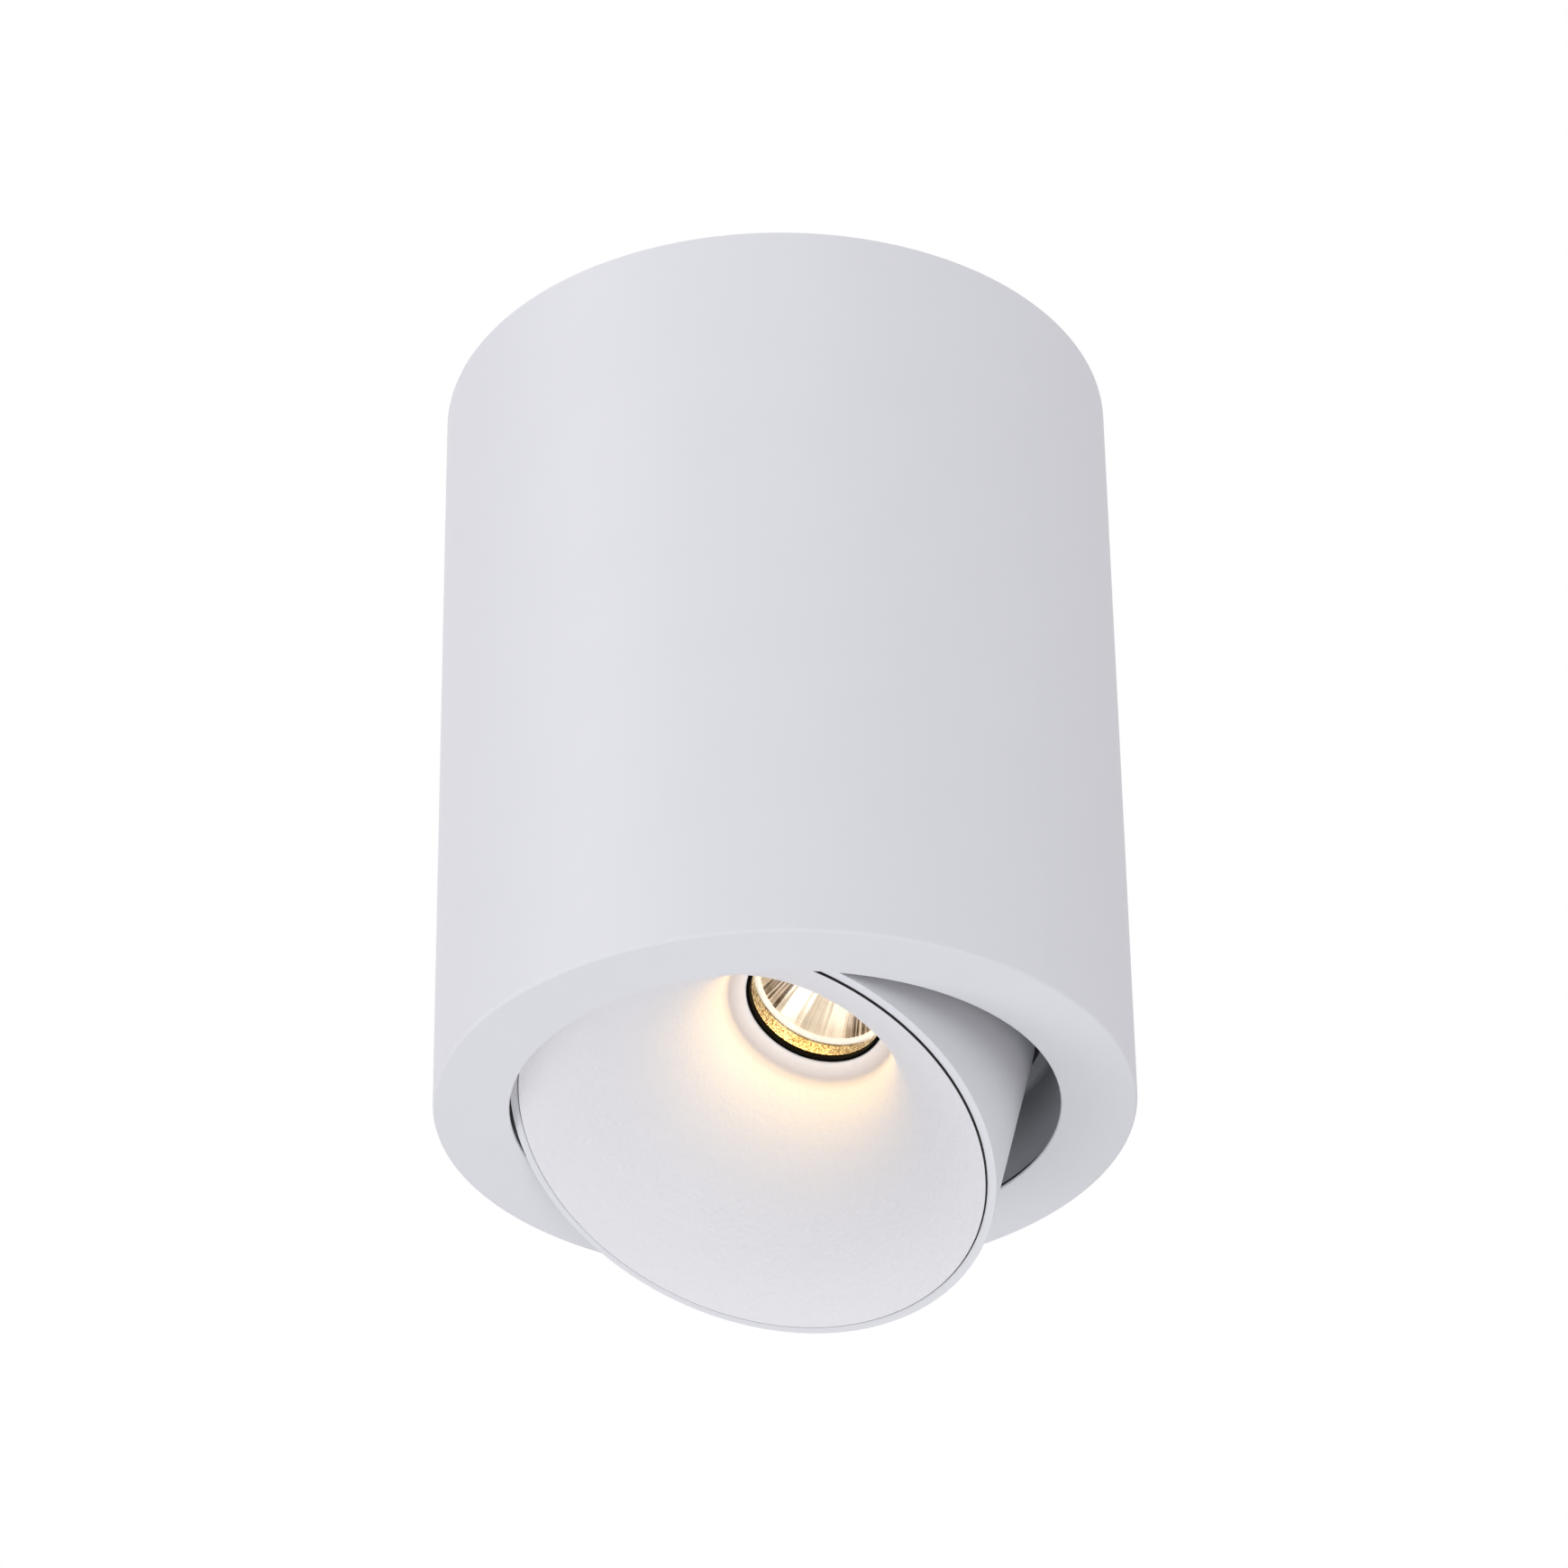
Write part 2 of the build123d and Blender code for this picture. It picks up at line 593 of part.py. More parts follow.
def optic_cup():
    """Faceted cup that gathers the light of the chip."""
    throat = CUP_THROAT_RADIUS + CUP_WALL
    body = turned(
        [
            (0, CUP_FRONT),
            (LENS_RADIUS, CUP_FRONT),
            (LENS_RADIUS, CUP_FRONT + CUP_RIM),
            (throat, HOLDER_FRONT),
            (0, HOLDER_FRONT),
        ]
    )
    mouth = Pos(0, 0, CUP_FRONT) * RegularPolygon(LENS_RADIUS - CUP_RIM_WIDTH, CUP_FACETS)
    end = Pos(0, 0, HOLDER_FRONT) * RegularPolygon(CUP_THROAT_RADIUS, CUP_FACETS)
    return body - loft([mouth, end], ruled=True)


def cob_holder():
    """Holder that clamps the chip board to the heat sink."""
    body = disc(HOLDER_RADIUS, HOLDER_FRONT, SINK_FACE)
    body -= disc(CUP_THROAT_RADIUS + SEAT_GAP, HOLDER_FRONT, SINK_FACE)
    half = BOARD_SIDE / 2 + SEAT_GAP
    pocket = SINK_FACE - PAD_THICKNESS - BOARD_THICKNESS
    body -= block((-half, -half, pocket), (half, half, SINK_FACE))
    hole = disc(SMALL_SCREW_RADIUS + SEAT_GAP, HOLDER_FRONT, SINK_FACE)
    for bore in around(HOLDER_SCREW_CIRCLE, HOLDER_SCREW_ANGLES, hole):
        body -= bore
    return body


def cob_holder_screws():
    """Two screws from the holder's front into the heat sink."""
    length = HOLDER_THICKNESS + SINK_BASE / 2
    one = screw(SMALL_SCREW_RADIUS, length, SMALL_HEAD_RADIUS, SMALL_HEAD)
    one = Pos(0, 0, HOLDER_FRONT) * Rot(180, 0, 0) * one
    return group(around(HOLDER_SCREW_CIRCLE, HOLDER_SCREW_ANGLES, one))


def led_board():
    """Square board of the light chip."""
    half = BOARD_SIDE / 2
    top = SINK_FACE - PAD_THICKNESS
    return block((-half, -half, top - BOARD_THICKNESS), (half, half, top))


def led_phosphor():
    """Round light-emitting patch on the board."""
    back = SINK_FACE - PAD_THICKNESS - BOARD_THICKNESS
    return disc(PHOSPHOR_RADIUS, back - PHOSPHOR_THICKNESS, back)


def thermal_pad():
    """Soft pad between the board and the heat sink."""
    half = BOARD_SIDE / 2
    return block((-half, -half, SINK_FACE - PAD_THICKNESS), (half, half, SINK_FACE))


def heat_sink():
    """Round base on the can's neck with straight fins behind it."""
    body = disc(NECK_RADIUS, SINK_FACE, FIN_ROOT)
    pitch = 2 * (NECK_RADIUS - FIN_THICKNESS) / (FIN_COUNT - 1)
    for step in range(FIN_COUNT):
        middle = (step - (FIN_COUNT - 1) / 2) * pitch
        low = (middle - FIN_THICKNESS / 2, -NECK_RADIUS, FIN_ROOT)
        high = (middle + FIN_THICKNESS / 2, NECK_RADIUS, FIN_TIP)
        body += block(low, high) & disc(NECK_RADIUS, FIN_ROOT, FIN_TIP)
    clear = disc(SMALL_HEAD_RADIUS + LOOSE_FIT, FIN_ROOT, FIN_TIP)
    clear += disc(SMALL_SCREW_RADIUS + SEAT_GAP, SINK_FACE, FIN_ROOT)
    for bore in around(BOSS_CIRCLE, sink_screw_angles(), clear):
        body -= bore
    thread = disc(SMALL_SCREW_RADIUS + THREAD_GAP, SINK_FACE, SINK_FACE + SINK_BASE / 2 + SEAT_GAP)
    for bore in around(HOLDER_SCREW_CIRCLE, HOLDER_SCREW_ANGLES, thread):
        body -= bore
    return body


def heat_sink_screws():
    """Screws from the fins' side into the can's bosses."""
    length = SINK_BASE + BOSS_LENGTH - SIDE_GAP
    one = Pos(0, 0, FIN_ROOT) * screw(SMALL_SCREW_RADIUS, length, SMALL_HEAD_RADIUS, SMALL_HEAD)
    return group(around(BOSS_CIRCLE, sink_screw_angles(), one))


def pivot_screw():
    """Shoulder screw that is the pivot on the left."""
    head = pivot_bar(PIVOT_HEAD_RADIUS, -PIVOT_HEAD_IN, -PIVOT_HEAD_OUT)
    socket = RegularPolygon(PIVOT_HEAD_RADIUS * SOCKET_SHARE, 6)
    place = Plane.YZ.offset(-PIVOT_HEAD_OUT) * Pos(-PIVOT_OFFSET, PIVOT_HEIGHT)
    head -= extrude(place * socket, PIVOT_HEAD * SOCKET_SHARE)
    return head + pivot_bar(PIVOT_RADIUS, -PIVOT_HEAD_IN, -LUG_FACE + PIVOT_REACH)


def pivot_bush():
    """Hollow pivot on the right, which the lamp lead passes through."""
    body = pivot_bar(PIVOT_HEAD_RADIUS, PIVOT_HEAD_IN, PIVOT_HEAD_OUT)
    body += pivot_bar(PIVOT_RADIUS, LUG_FACE - PIVOT_REACH, PIVOT_HEAD_IN)
    return body - pivot_bar(LEAD_RADIUS + LOOSE_FIT, 0, HOUSING_RADIUS)


def pivot_washers(start):
    """Pair of washers on the pivots, one on each side, from a distance along X outwards."""
    pair = []
    for side in (-1, 1):
        near = side * start
        far = side * (start + WASHER_THICKNESS)
        ring = pivot_bar(PIVOT_HEAD_RADIUS, near, far)
        pair.append(ring - pivot_bar(PIVOT_RADIUS + WASHER_MARGIN, near, far))
    return group(pair)


def ceiling_plate():
    """Steel plate on the ceiling: slots, cable hole, post holes and two bent tabs for the set screws."""
    body = disc(PLATE_RADIUS, PLATE_BOTTOM, HEIGHT)
    tab_out = math.sqrt((HOUSING_INNER - SIDE_GAP) ** 2 - (TAB_WIDTH / 2) ** 2)
    half = TAB_WIDTH / 2
    tab = block((PLATE_RADIUS - TAB_WIDTH, -half, PLATE_BOTTOM), (tab_out, half, HEIGHT))
    tab += block((tab_out - PLATE_THICKNESS, -half, HEIGHT - TAB_DROP), (tab_out, half, HEIGHT))
    thread = Cylinder(SET_SCREW_RADIUS + THREAD_GAP, 4 * PLATE_THICKNESS)
    tab -= Pos(tab_out, 0, HEIGHT - SET_SCREW_DROP) * Rot(0, 90, 0) * thread
    for bent in around(0, SET_SCREW_ANGLES, tab):
        body += bent
    slot = Pos(0, 0, PLATE_BOTTOM) * extrude(SlotOverall(SLOT_LENGTH, SLOT_WIDTH), PLATE_THICKNESS)
    for cut in around(SLOT_SPACING / 2, (0, 180), slot):
        body -= cut
    body -= disc(GROMMET_RADIUS + SEAT_GAP, PLATE_BOTTOM, HEIGHT)
    body -= disc(GROMMET_RADIUS + GROMMET_LIP + SEAT_GAP, HEIGHT - GROMMET_LIP_THICKNESS, HEIGHT)
    for cut in around(POST_CIRCLE, POST_ANGLES, countersunk(SEAT_GAP)):
        body -= cut
    return body


def countersunk(margin):
    """Flush post screw in the plate, or with a margin the hole that takes it."""
    head = SMALL_SCREW_RADIUS + margin
    cone = Cone(head, SMALL_HEAD_RADIUS + margin, SMALL_HEAD)
    shank = disc(head, PLATE_BOTTOM - POST_THREAD, HEIGHT - SMALL_HEAD)
    return shank + Pos(0, 0, HEIGHT - SMALL_HEAD / 2) * cone


def post_top_screws():
    """Countersunk screws from the plate into the posts."""
    socket = extrude(RegularPolygon(SMALL_HEAD_RADIUS * SOCKET_SHARE, 6), SMALL_HEAD * SOCKET_SHARE)
    one = countersunk(0) - Pos(0, 0, HEIGHT - SMALL_HEAD * SOCKET_SHARE) * socket
    return group(around(POST_CIRCLE, POST_ANGLES, one))


def post_bottom_screws():
    """Screws from under the tray into the posts."""
    length = TRAY_THICKNESS + POST_THREAD
    one = screw(SMALL_SCREW_RADIUS, length, SMALL_HEAD_RADIUS, SMALL_HEAD)
    one = Pos(0, 0, TRAY_BOTTOM) * Rot(180, 0, 0) * one
    return group(around(POST_CIRCLE, POST_ANGLES, one))


def tray_posts():
    """Hexagon posts that hang the tray from the plate, threaded at both ends."""
    depth = POST_THREAD + SIDE_GAP
    post = Pos(0, 0, TRAY_TOP) * extrude(RegularPolygon(POST_RADIUS, 6), BAY_HEIGHT)
    post -= disc(SMALL_SCREW_RADIUS + THREAD_GAP, TRAY_TOP, TRAY_TOP + depth)
    post -= disc(SMALL_SCREW_RADIUS + THREAD_GAP, PLATE_BOTTOM - depth, PLATE_BOTTOM)
    return group(around(POST_CIRCLE, POST_ANGLES, post))


def set_screws():
    """Grub screws through the tube into the plate's tabs, with hexagon sockets."""
    tip = HOUSING_RADIUS - SET_SCREW_INSET - SET_SCREW_LENGTH
    place = Pos(tip, 0, HEIGHT - SET_SCREW_DROP) * Rot(0, 90, 0)
    socket = extrude(RegularPolygon(SET_SCREW_RADIUS * SOCKET_SHARE, 6), SET_SCREW_RADIUS)
    one = disc(SET_SCREW_RADIUS, 0, SET_SCREW_LENGTH)
    one -= Pos(0, 0, SET_SCREW_LENGTH - SET_SCREW_RADIUS) * socket
    return group(around(0, SET_SCREW_ANGLES, place * one))


def cable_grommet():
    """Rubber bush of the cable entry, flush with the ceiling face."""
    outer = GROMMET_RADIUS + GROMMET_LIP
    return turned(
        [
            (CABLE_BORE, PLATE_BOTTOM - GROMMET_FLANGE),
            (outer, PLATE_BOTTOM - GROMMET_FLANGE),
            (outer, PLATE_BOTTOM),
            (GROMMET_RADIUS, PLATE_BOTTOM),
            (GROMMET_RADIUS, HEIGHT - GROMMET_LIP_THICKNESS),
            (outer, HEIGHT - GROMMET_LIP_THICKNESS),
            (outer, HEIGHT),
            (CABLE_BORE, HEIGHT),
        ]
    )


def gear_tray():
    """Round steel shelf for the driver and the terminal block."""
    body = disc(TRAY_RADIUS, TRAY_BOTTOM, TRAY_TOP)
    body -= disc(tray_grommet_radius() + SEAT_GAP, TRAY_BOTTOM, TRAY_TOP)
    loose = disc(SMALL_SCREW_RADIUS + SEAT_GAP, TRAY_BOTTOM, TRAY_TOP)
    thread = disc(SMALL_SCREW_RADIUS + THREAD_GAP, TRAY_BOTTOM, TRAY_TOP)
    for hole in around(POST_CIRCLE, POST_ANGLES, loose):
        body -= hole
    for x, y in driver_screw_places() + terminal_screw_places() + [(EARTH_TAG_X, EARTH_TAG_Y)]:
        body -= Pos(x, y, 0) * thread
    return body


def tray_grommet_radius():
    """Radius of the tray's lead hole that the grommet fills."""
    return LEAD_RADIUS + LOOSE_FIT + GROMMET_LIP


def tray_grommet():
    """Rubber bush on the axis, where the lamp lead passes through the tray."""
    neck = tray_grommet_radius()
    outer = neck + GROMMET_LIP
    bore = LEAD_RADIUS + LOOSE_FIT
    return turned(
        [
            (bore, TRAY_BOTTOM - GROMMET_LIP_THICKNESS),
            (outer, TRAY_BOTTOM - GROMMET_LIP_THICKNESS),
            (outer, TRAY_BOTTOM),
            (neck, TRAY_BOTTOM),
            (neck, TRAY_TOP),
            (outer, TRAY_TOP),
            (outer, TRAY_TOP + GROMMET_LIP_THICKNESS),
            (bore, TRAY_TOP + GROMMET_LIP_THICKNESS),
        ]
    )


def driver_screw_places():
    """Places of the driver's two screws on the tray."""
    x = (DRIVER_LENGTH + DRIVER_FOOT) / 2
    return [(-x, DRIVER_Y), (x, DRIVER_Y)]


def driver_case():
    """Open-topped driver box with two feet, four board pegs and the lead inlets in its front wall."""
    length, width = DRIVER_LENGTH / 2, DRIVER_WIDTH / 2
    wall = DRIVER_WALL
    body = block((-length, -width, TRAY_TOP), (length, width, DRIVER_TOP))
    body -= block((wall - length, wall - width, DRIVER_FLOOR), (length - wall, width - wall, DRIVER_TOP))
    reach = length + DRIVER_FOOT
    half = DRIVER_FOOT_WIDTH / 2
    for near, far in ((-reach, -length), (length, reach)):
        body += block((near, -half, TRAY_TOP), (far, half, TRAY_TOP + DRIVER_FOOT_THICKNESS))
    peg = disc(BOARD_STAND / 2, TRAY_TOP, BOARD_BOTTOM)
    for x in (-1, 1):
        for y in (-1, 1):
            body += Pos(x * (length - BOARD_STAND), y * (width - BOARD_STAND), 0) * peg
    body = Pos(0, DRIVER_Y, 0) * body
    for x, y in driver_screw_places():
        body -= Pos(x, y, 0) * disc(SMALL_SCREW_RADIUS + SEAT_GAP, TRAY_TOP, DRIVER_TOP)
    inlets = [(0, LEAD_INLET_Z, LEAD_RADIUS)]
    inlets += [(x, WIRE_INLET_Z, WIRE_RADIUS) for x in (LIVE_INLET_X, NEUTRAL_INLET_X)]
    for x, z, radius in inlets:
        hole = Cylinder(radius + LOOSE_FIT, 4 * DRIVER_WALL)
        body -= Pos(x, DRIVER_SETBACK, z) * Rot(90, 0, 0) * hole
    return body


def driver_lid():
    """Lid of the driver box with a rib that drops inside its walls."""
    length, width = DRIVER_LENGTH / 2, DRIVER_WIDTH / 2
    inset = DRIVER_WALL + SEAT_GAP
    lid = block((-length, -width, DRIVER_TOP), (length, width, DRIVER_TOP + DRIVER_WALL))
    low = DRIVER_TOP - DRIVER_WALL
    lid += block((inset - length, inset - width, low), (length - inset, width - inset, DRIVER_TOP))
    rib = inset + DRIVER_WALL
    lid -= block((rib - length, rib - width, low), (length - rib, width - rib, DRIVER_TOP))
    return Pos(0, DRIVER_Y, 0) * lid


def driver_board():
    """Circuit board on the pegs of the driver box."""
    low = (-BOARD_LENGTH / 2, DRIVER_Y - BOARD_WIDTH / 2, BOARD_BOTTOM)
    return block(low, (BOARD_LENGTH / 2, DRIVER_Y + BOARD_WIDTH / 2, BOARD_TOP))


def driver_transformer():
    """Transformer on the driver board."""
    x, y, z = TRANSFORMER_SIZE
    return Pos(0, DRIVER_Y + LEAD_RADIUS, BOARD_TOP + z / 2) * Box(x, y, z)


def driver_capacitors():
    """Two upright capacitors at the ends of the driver board."""
    can = disc(CAPACITOR_RADIUS, BOARD_TOP, BOARD_TOP + CAPACITOR_HEIGHT)
    x = BOARD_LENGTH / 2 - CAPACITOR_RADIUS - DRIVER_WALL
    return group([Pos(side * x, DRIVER_Y, 0) * can for side in (-1, 1)])


def driver_screws():
    """Screws through the driver's feet into the tray."""
    length = DRIVER_FOOT_THICKNESS + TRAY_THICKNESS
    top = TRAY_TOP + DRIVER_FOOT_THICKNESS
    one = Pos(0, 0, top) * screw(SMALL_SCREW_RADIUS, length, SMALL_HEAD_RADIUS, SMALL_HEAD)
    return group([Pos(x, y, 0) * one for x, y in driver_screw_places()])


def terminal_pole_places():
    """X of each pole of the terminal block: live, neutral and earth."""
    return [(step - (TERMINAL_POLES - 1) / 2) * TERMINAL_PITCH for step in range(TERMINAL_POLES)]


def terminal_screw_places():
    """Places of the terminal block's fixing screws, between its poles."""
    poles = terminal_pole_places()
    return [((a + b) / 2, TERMINAL_Y) for a, b in zip(poles, poles[1:])]


def clamp_screw_places():
    """Places of the two clamp screws of every pole."""
    ys = (TERMINAL_Y - CLAMP_SCREW_SPACING / 2, TERMINAL_Y + CLAMP_SCREW_SPACING / 2)
    return [(x, y) for x in terminal_pole_places() for y in ys]


def along_y(radius, x, z, length):
    """Round bar along Y through the middle of the terminal block."""
    return Pos(x, TERMINAL_Y, z) * Rot(90, 0, 0) * Cylinder(radius, length)


def clamp_screw_radius():
    """Radius of the screws that clamp a wire, less than the sleeve's bore."""
    return SLEEVE_TUBE_BORE - LOOSE_FIT


def terminal_block():
    """Insulating body with a bore for each sleeve, a shaft for each clamp screw and fixing holes."""
    half = TERMINAL_WIDTH / 2
    low = (-half, -TERMINAL_SETBACK - TERMINAL_DEPTH, TRAY_TOP)
    top = TRAY_TOP + TERMINAL_HEIGHT
    body = block(low, (half, -TERMINAL_SETBACK, top))
    for x in terminal_pole_places():
        body -= along_y(SLEEVE_TUBE_RADIUS + THREAD_GAP, x, TERMINAL_Z, TERMINAL_DEPTH)
    shaft = disc(clamp_screw_radius() + LOOSE_FIT, TERMINAL_Z, top)
    for x, y in clamp_screw_places():
        body -= Pos(x, y, 0) * shaft
    for x, y in terminal_screw_places():
        body -= Pos(x, y, 0) * disc(SMALL_SCREW_RADIUS + SEAT_GAP, TRAY_TOP, top)
    return body


def terminal_sleeves():
    """Brass tubes that join the wires of each pole."""
    sleeves = []
    for x in terminal_pole_places():
        tube = along_y(SLEEVE_TUBE_RADIUS, x, TERMINAL_Z, SLEEVE_TUBE_LENGTH)
        tube -= along_y(SLEEVE_TUBE_BORE, x, TERMINAL_Z, SLEEVE_TUBE_LENGTH)
        for pole, y in clamp_screw_places():
            if pole == x:
                bore = disc(clamp_screw_radius() + THREAD_GAP, TERMINAL_Z, TERMINAL_Z + SLEEVE_TUBE_LENGTH)
                tube -= Pos(x, y, 0) * bore
        sleeves.append(tube)
    return group(sleeves)


def clamp_screws():
    """Headless slotted screws, two to a pole, that stand on the wires."""
    radius = clamp_screw_radius()
    low = TERMINAL_Z + WIRE_RADIUS + SEAT_GAP
    high = TRAY_TOP + TERMINAL_HEIGHT - SIDE_GAP
    one = disc(radius, low, high)
    one -= block((-radius, -SEAT_GAP * 2, high - radius / 2), (radius, SEAT_GAP * 2, high))
    return group([Pos(x, y, 0) * one for x, y in clamp_screw_places()])


def terminal_fixing_screws():
    """Screws that fix the terminal block to the tray."""
    top = TRAY_TOP + TERMINAL_HEIGHT
    head = TERMINAL_PITCH / 2 - clamp_screw_radius() - 2 * LOOSE_FIT
    one = screw(SMALL_SCREW_RADIUS, TERMINAL_HEIGHT + TRAY_THICKNESS, head, SMALL_HEAD)
    return group([Pos(x, y, top) * one for x, y in terminal_screw_places()])


def earth_tag():
    """Ring tag under the earth screw, with the barrel that grips the earth lead."""
    top = TRAY_TOP + EARTH_TAG_THICKNESS
    tag = disc(EARTH_TAG_RADIUS, TRAY_TOP, top)
    tag += block((-2 * EARTH_TAG_RADIUS, -WIRE_RADIUS, TRAY_TOP), (0, WIRE_RADIUS, top))
    tag -= disc(SMALL_SCREW_RADIUS + SEAT_GAP, TRAY_TOP, top)
    grip = Pos(-1.5 * EARTH_TAG_RADIUS, 0, earth_lead_height()) * Rot(0, 90, 0)
    barrel = WIRE_RADIUS + EARTH_TAG_THICKNESS
    tag += grip * Cylinder(barrel, EARTH_TAG_RADIUS)
    tag -= grip * Cylinder(WIRE_RADIUS + THREAD_GAP, 2 * EARTH_TAG_RADIUS)
    return Pos(EARTH_TAG_X, EARTH_TAG_Y, 0) * tag


def earth_lead_height():
    """Height of the earth lead's end in its tag."""
    return TRAY_TOP + EARTH_TAG_THICKNESS + WIRE_RADIUS + THREAD_GAP


def earth_screw():
    """Screw that fixes the earth tag to the tray."""
    length = EARTH_TAG_THICKNESS + TRAY_THICKNESS
    one = screw(SMALL_SCREW_RADIUS, length, SMALL_HEAD_RADIUS, SMALL_HEAD)
    return Pos(EARTH_TAG_X, EARTH_TAG_Y, TRAY_TOP + EARTH_TAG_THICKNESS) * one


def supply_lead(pole, inlet_x):
    """Lead from one pole of the terminal block to the driver's front wall."""
    leave = -TERMINAL_SETBACK + 2 * WIRE_BEND
    arrive = DRIVER_SETBACK - 2 * WIRE_BEND
    return lead(
        [
            (pole, TERMINAL_Y, TERMINAL_Z),
            (pole, leave, TERMINAL_Z),
            (inlet_x, arrive, WIRE_INLET_Z),
            (inlet_x, DRIVER_SETBACK + DRIVER_WALL, WIRE_INLET_Z),
        ],
        WIRE_RADIUS,
        WIRE_BEND,
    )


def earth_lead(pole):
    """Lead from the earth pole to the tag on the tray."""
    level = earth_lead_height()
    return lead(
        [
            (pole, TERMINAL_Y, TERMINAL_Z),
            (pole, EARTH_TAG_Y, TERMINAL_Z),
            (pole + WIRE_BEND, EARTH_TAG_Y, level),
            (EARTH_TAG_X - EARTH_TAG_RADIUS, EARTH_TAG_Y, level),
        ],
        WIRE_RADIUS,
        WIRE_BEND / 2,
    )


def lamp_lead_upper():
    """Lamp lead from the driver to the middle of the tray."""
    return lead(
        [
            (0, 0, (TRAY_BOTTOM + TRAY_TOP) / 2),
            (0, 0, LEAD_INLET_Z),
            (0, DRIVER_SETBACK + DRIVER_WALL, LEAD_INLET_Z),
        ],
        LEAD_RADIUS,
        PIVOT_LEAD_BEND,
    )


def lamp_lead_middle():
    """Lamp lead that turns with the swivel ring, from the tray's axis down to the hollow pivot."""
    out = PIVOT_HEAD_OUT + PIVOT_LEAD_BEND
    return lead(
        [
            (0, 0, (TRAY_BOTTOM + TRAY_TOP) / 2),
            (0, 0, LEAD_LEVEL),
            (out, -PIVOT_OFFSET, LEAD_LEVEL),
            (out, -PIVOT_OFFSET, PIVOT_HEIGHT),
            (LEAD_SPLIT, -PIVOT_OFFSET, PIVOT_HEIGHT),
        ],
        LEAD_RADIUS,
        [AXIS_BEND, WALL_BEND, PIVOT_LEAD_BEND],
    )


def lamp_lead_lower():
    """Lamp lead inside the can, from the hollow pivot to the chip holder."""
    terminal = Vector(HOLDER_RADIUS - LEAD_RADIUS, 0).rotate(Axis.Z, LEAD_END_ANGLE)
    inside = LUG_FACE - 2 * LUG_RADIUS
    return lead(
        [
            (LEAD_SPLIT, -PIVOT_OFFSET, PIVOT_HEIGHT),
            (inside, -PIVOT_OFFSET, PIVOT_HEIGHT),
            ((inside + terminal.X) / 2, (terminal.Y - PIVOT_OFFSET) / 2, LEAD_CLIMB_DEPTH),
            (terminal.X, terminal.Y, REFLECTOR_BACK + SIDE_GAP),
            (terminal.X, terminal.Y, HOLDER_FRONT),
        ],
        LEAD_RADIUS,
        PIVOT_LEAD_BEND,
    )


LIVE_POLE, NEUTRAL_POLE, EARTH_POLE = terminal_pole_places()

FIXED_NODES = {
    "housing": housing(),
    "ceiling_plate": ceiling_plate(),
    "housing_set_screws": set_screws(),
    "cable_grommet": cable_grommet(),
    "gear_tray": gear_tray(),
    "tray_posts": tray_posts(),
    "post_top_screws": post_top_screws(),
    "post_bottom_screws": post_bottom_screws(),
    "tray_grommet": tray_grommet(),
    "driver_case": driver_case(),
    "driver_lid": driver_lid(),
    "driver_board": driver_board(),
    "driver_transformer": driver_transformer(),
    "driver_capacitors": driver_capacitors(),
    "driver_screws": driver_screws(),
    "terminal_block": terminal_block(),
    "terminal_sleeves": terminal_sleeves(),
    "terminal_clamp_screws": clamp_screws(),
    "terminal_fixing_screws": terminal_fixing_screws(),
    "earth_tag": earth_tag(),
    "earth_screw": earth_screw(),
    "live_lead": supply_lead(LIVE_POLE, LIVE_INLET_X),
    "neutral_lead": supply_lead(NEUTRAL_POLE, NEUTRAL_INLET_X),
    "earth_lead": earth_lead(EARTH_POLE),
    "lamp_lead_upper": lamp_lead_upper(),
    "slide_ring": slide_ring(),
    "ring_keepers": ring_keepers(),
    "keeper_screws": keeper_screws(),
    "swivel_stop_pin": stop_pin(),
}

SWIVEL_NODES = {
    "swivel_ring": swivel_ring(),
    "friction_washers": pivot_washers(LUG_FACE),
    "spring_washers": pivot_washers(EAR_OUT),
    "lamp_lead_middle": lamp_lead_middle(),
}

HEAD_NODES = {
    "head_can": head_can(),
    "reflector": reflector(),
    "aperture_gasket": aperture_gasket(),
    "lens_collar": lens_collar(),
    "lens": lens(),
    "optic_cup": optic_cup(),
    "cob_holder": cob_holder(),
    "cob_holder_screws": cob_holder_screws(),
    "led_board": led_board(),
    "led_phosphor": led_phosphor(),
    "thermal_pad": thermal_pad(),
    "heat_sink": heat_sink(),
    "heat_sink_screws": heat_sink_screws(),
    "pivot_screw": pivot_screw(),
    "pivot_bush": pivot_bush(),
    "lamp_lead_lower": lamp_lead_lower(),
}

# The tilt about the pivots, and the move from the lower face to the ceiling face
TILT = Pos(0, -PIVOT_OFFSET, PIVOT_HEIGHT) * Rot(-REST_TILT, 0, 0) * Pos(0, PIVOT_OFFSET, -PIVOT_HEIGHT)
HANG = Pos(0, 0, -HEIGHT)

os.makedirs("parts", exist_ok=True)
for name, shape in {**FIXED_NODES, **SWIVEL_NODES}.items():
    export_step(HANG * shape, f"parts/{name}.step")
for name, shape in HEAD_NODES.items():
    export_step(HANG * TILT * shape, f"parts/{name}.step")

print(f"diameter {2 * HOUSING_RADIUS:.2f}, height {HEIGHT:.2f}, opening {2 * OPENING_RADIUS:.2f}")
print(f"fin tips {FIN_TIP:.2f} behind the rim, lens {LENS_FRONT:.2f}, neck radius {NECK_RADIUS:.2f}")
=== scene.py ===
"""Looks of a surface mounted ceiling light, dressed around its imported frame.

Lengths are metres in the row frame: the origin is the centre of the ceiling face and +Z points up.
The lamp head has a frame of its own, flush and looking straight down, with depth measured up from its rim.
"""

import json
import logging
import math
from abc import ABC, abstractmethod
from dataclasses import dataclass
from enum import Enum
from typing import ClassVar, Sequence

import bmesh
import bpy
from mathutils import Matrix, Vector


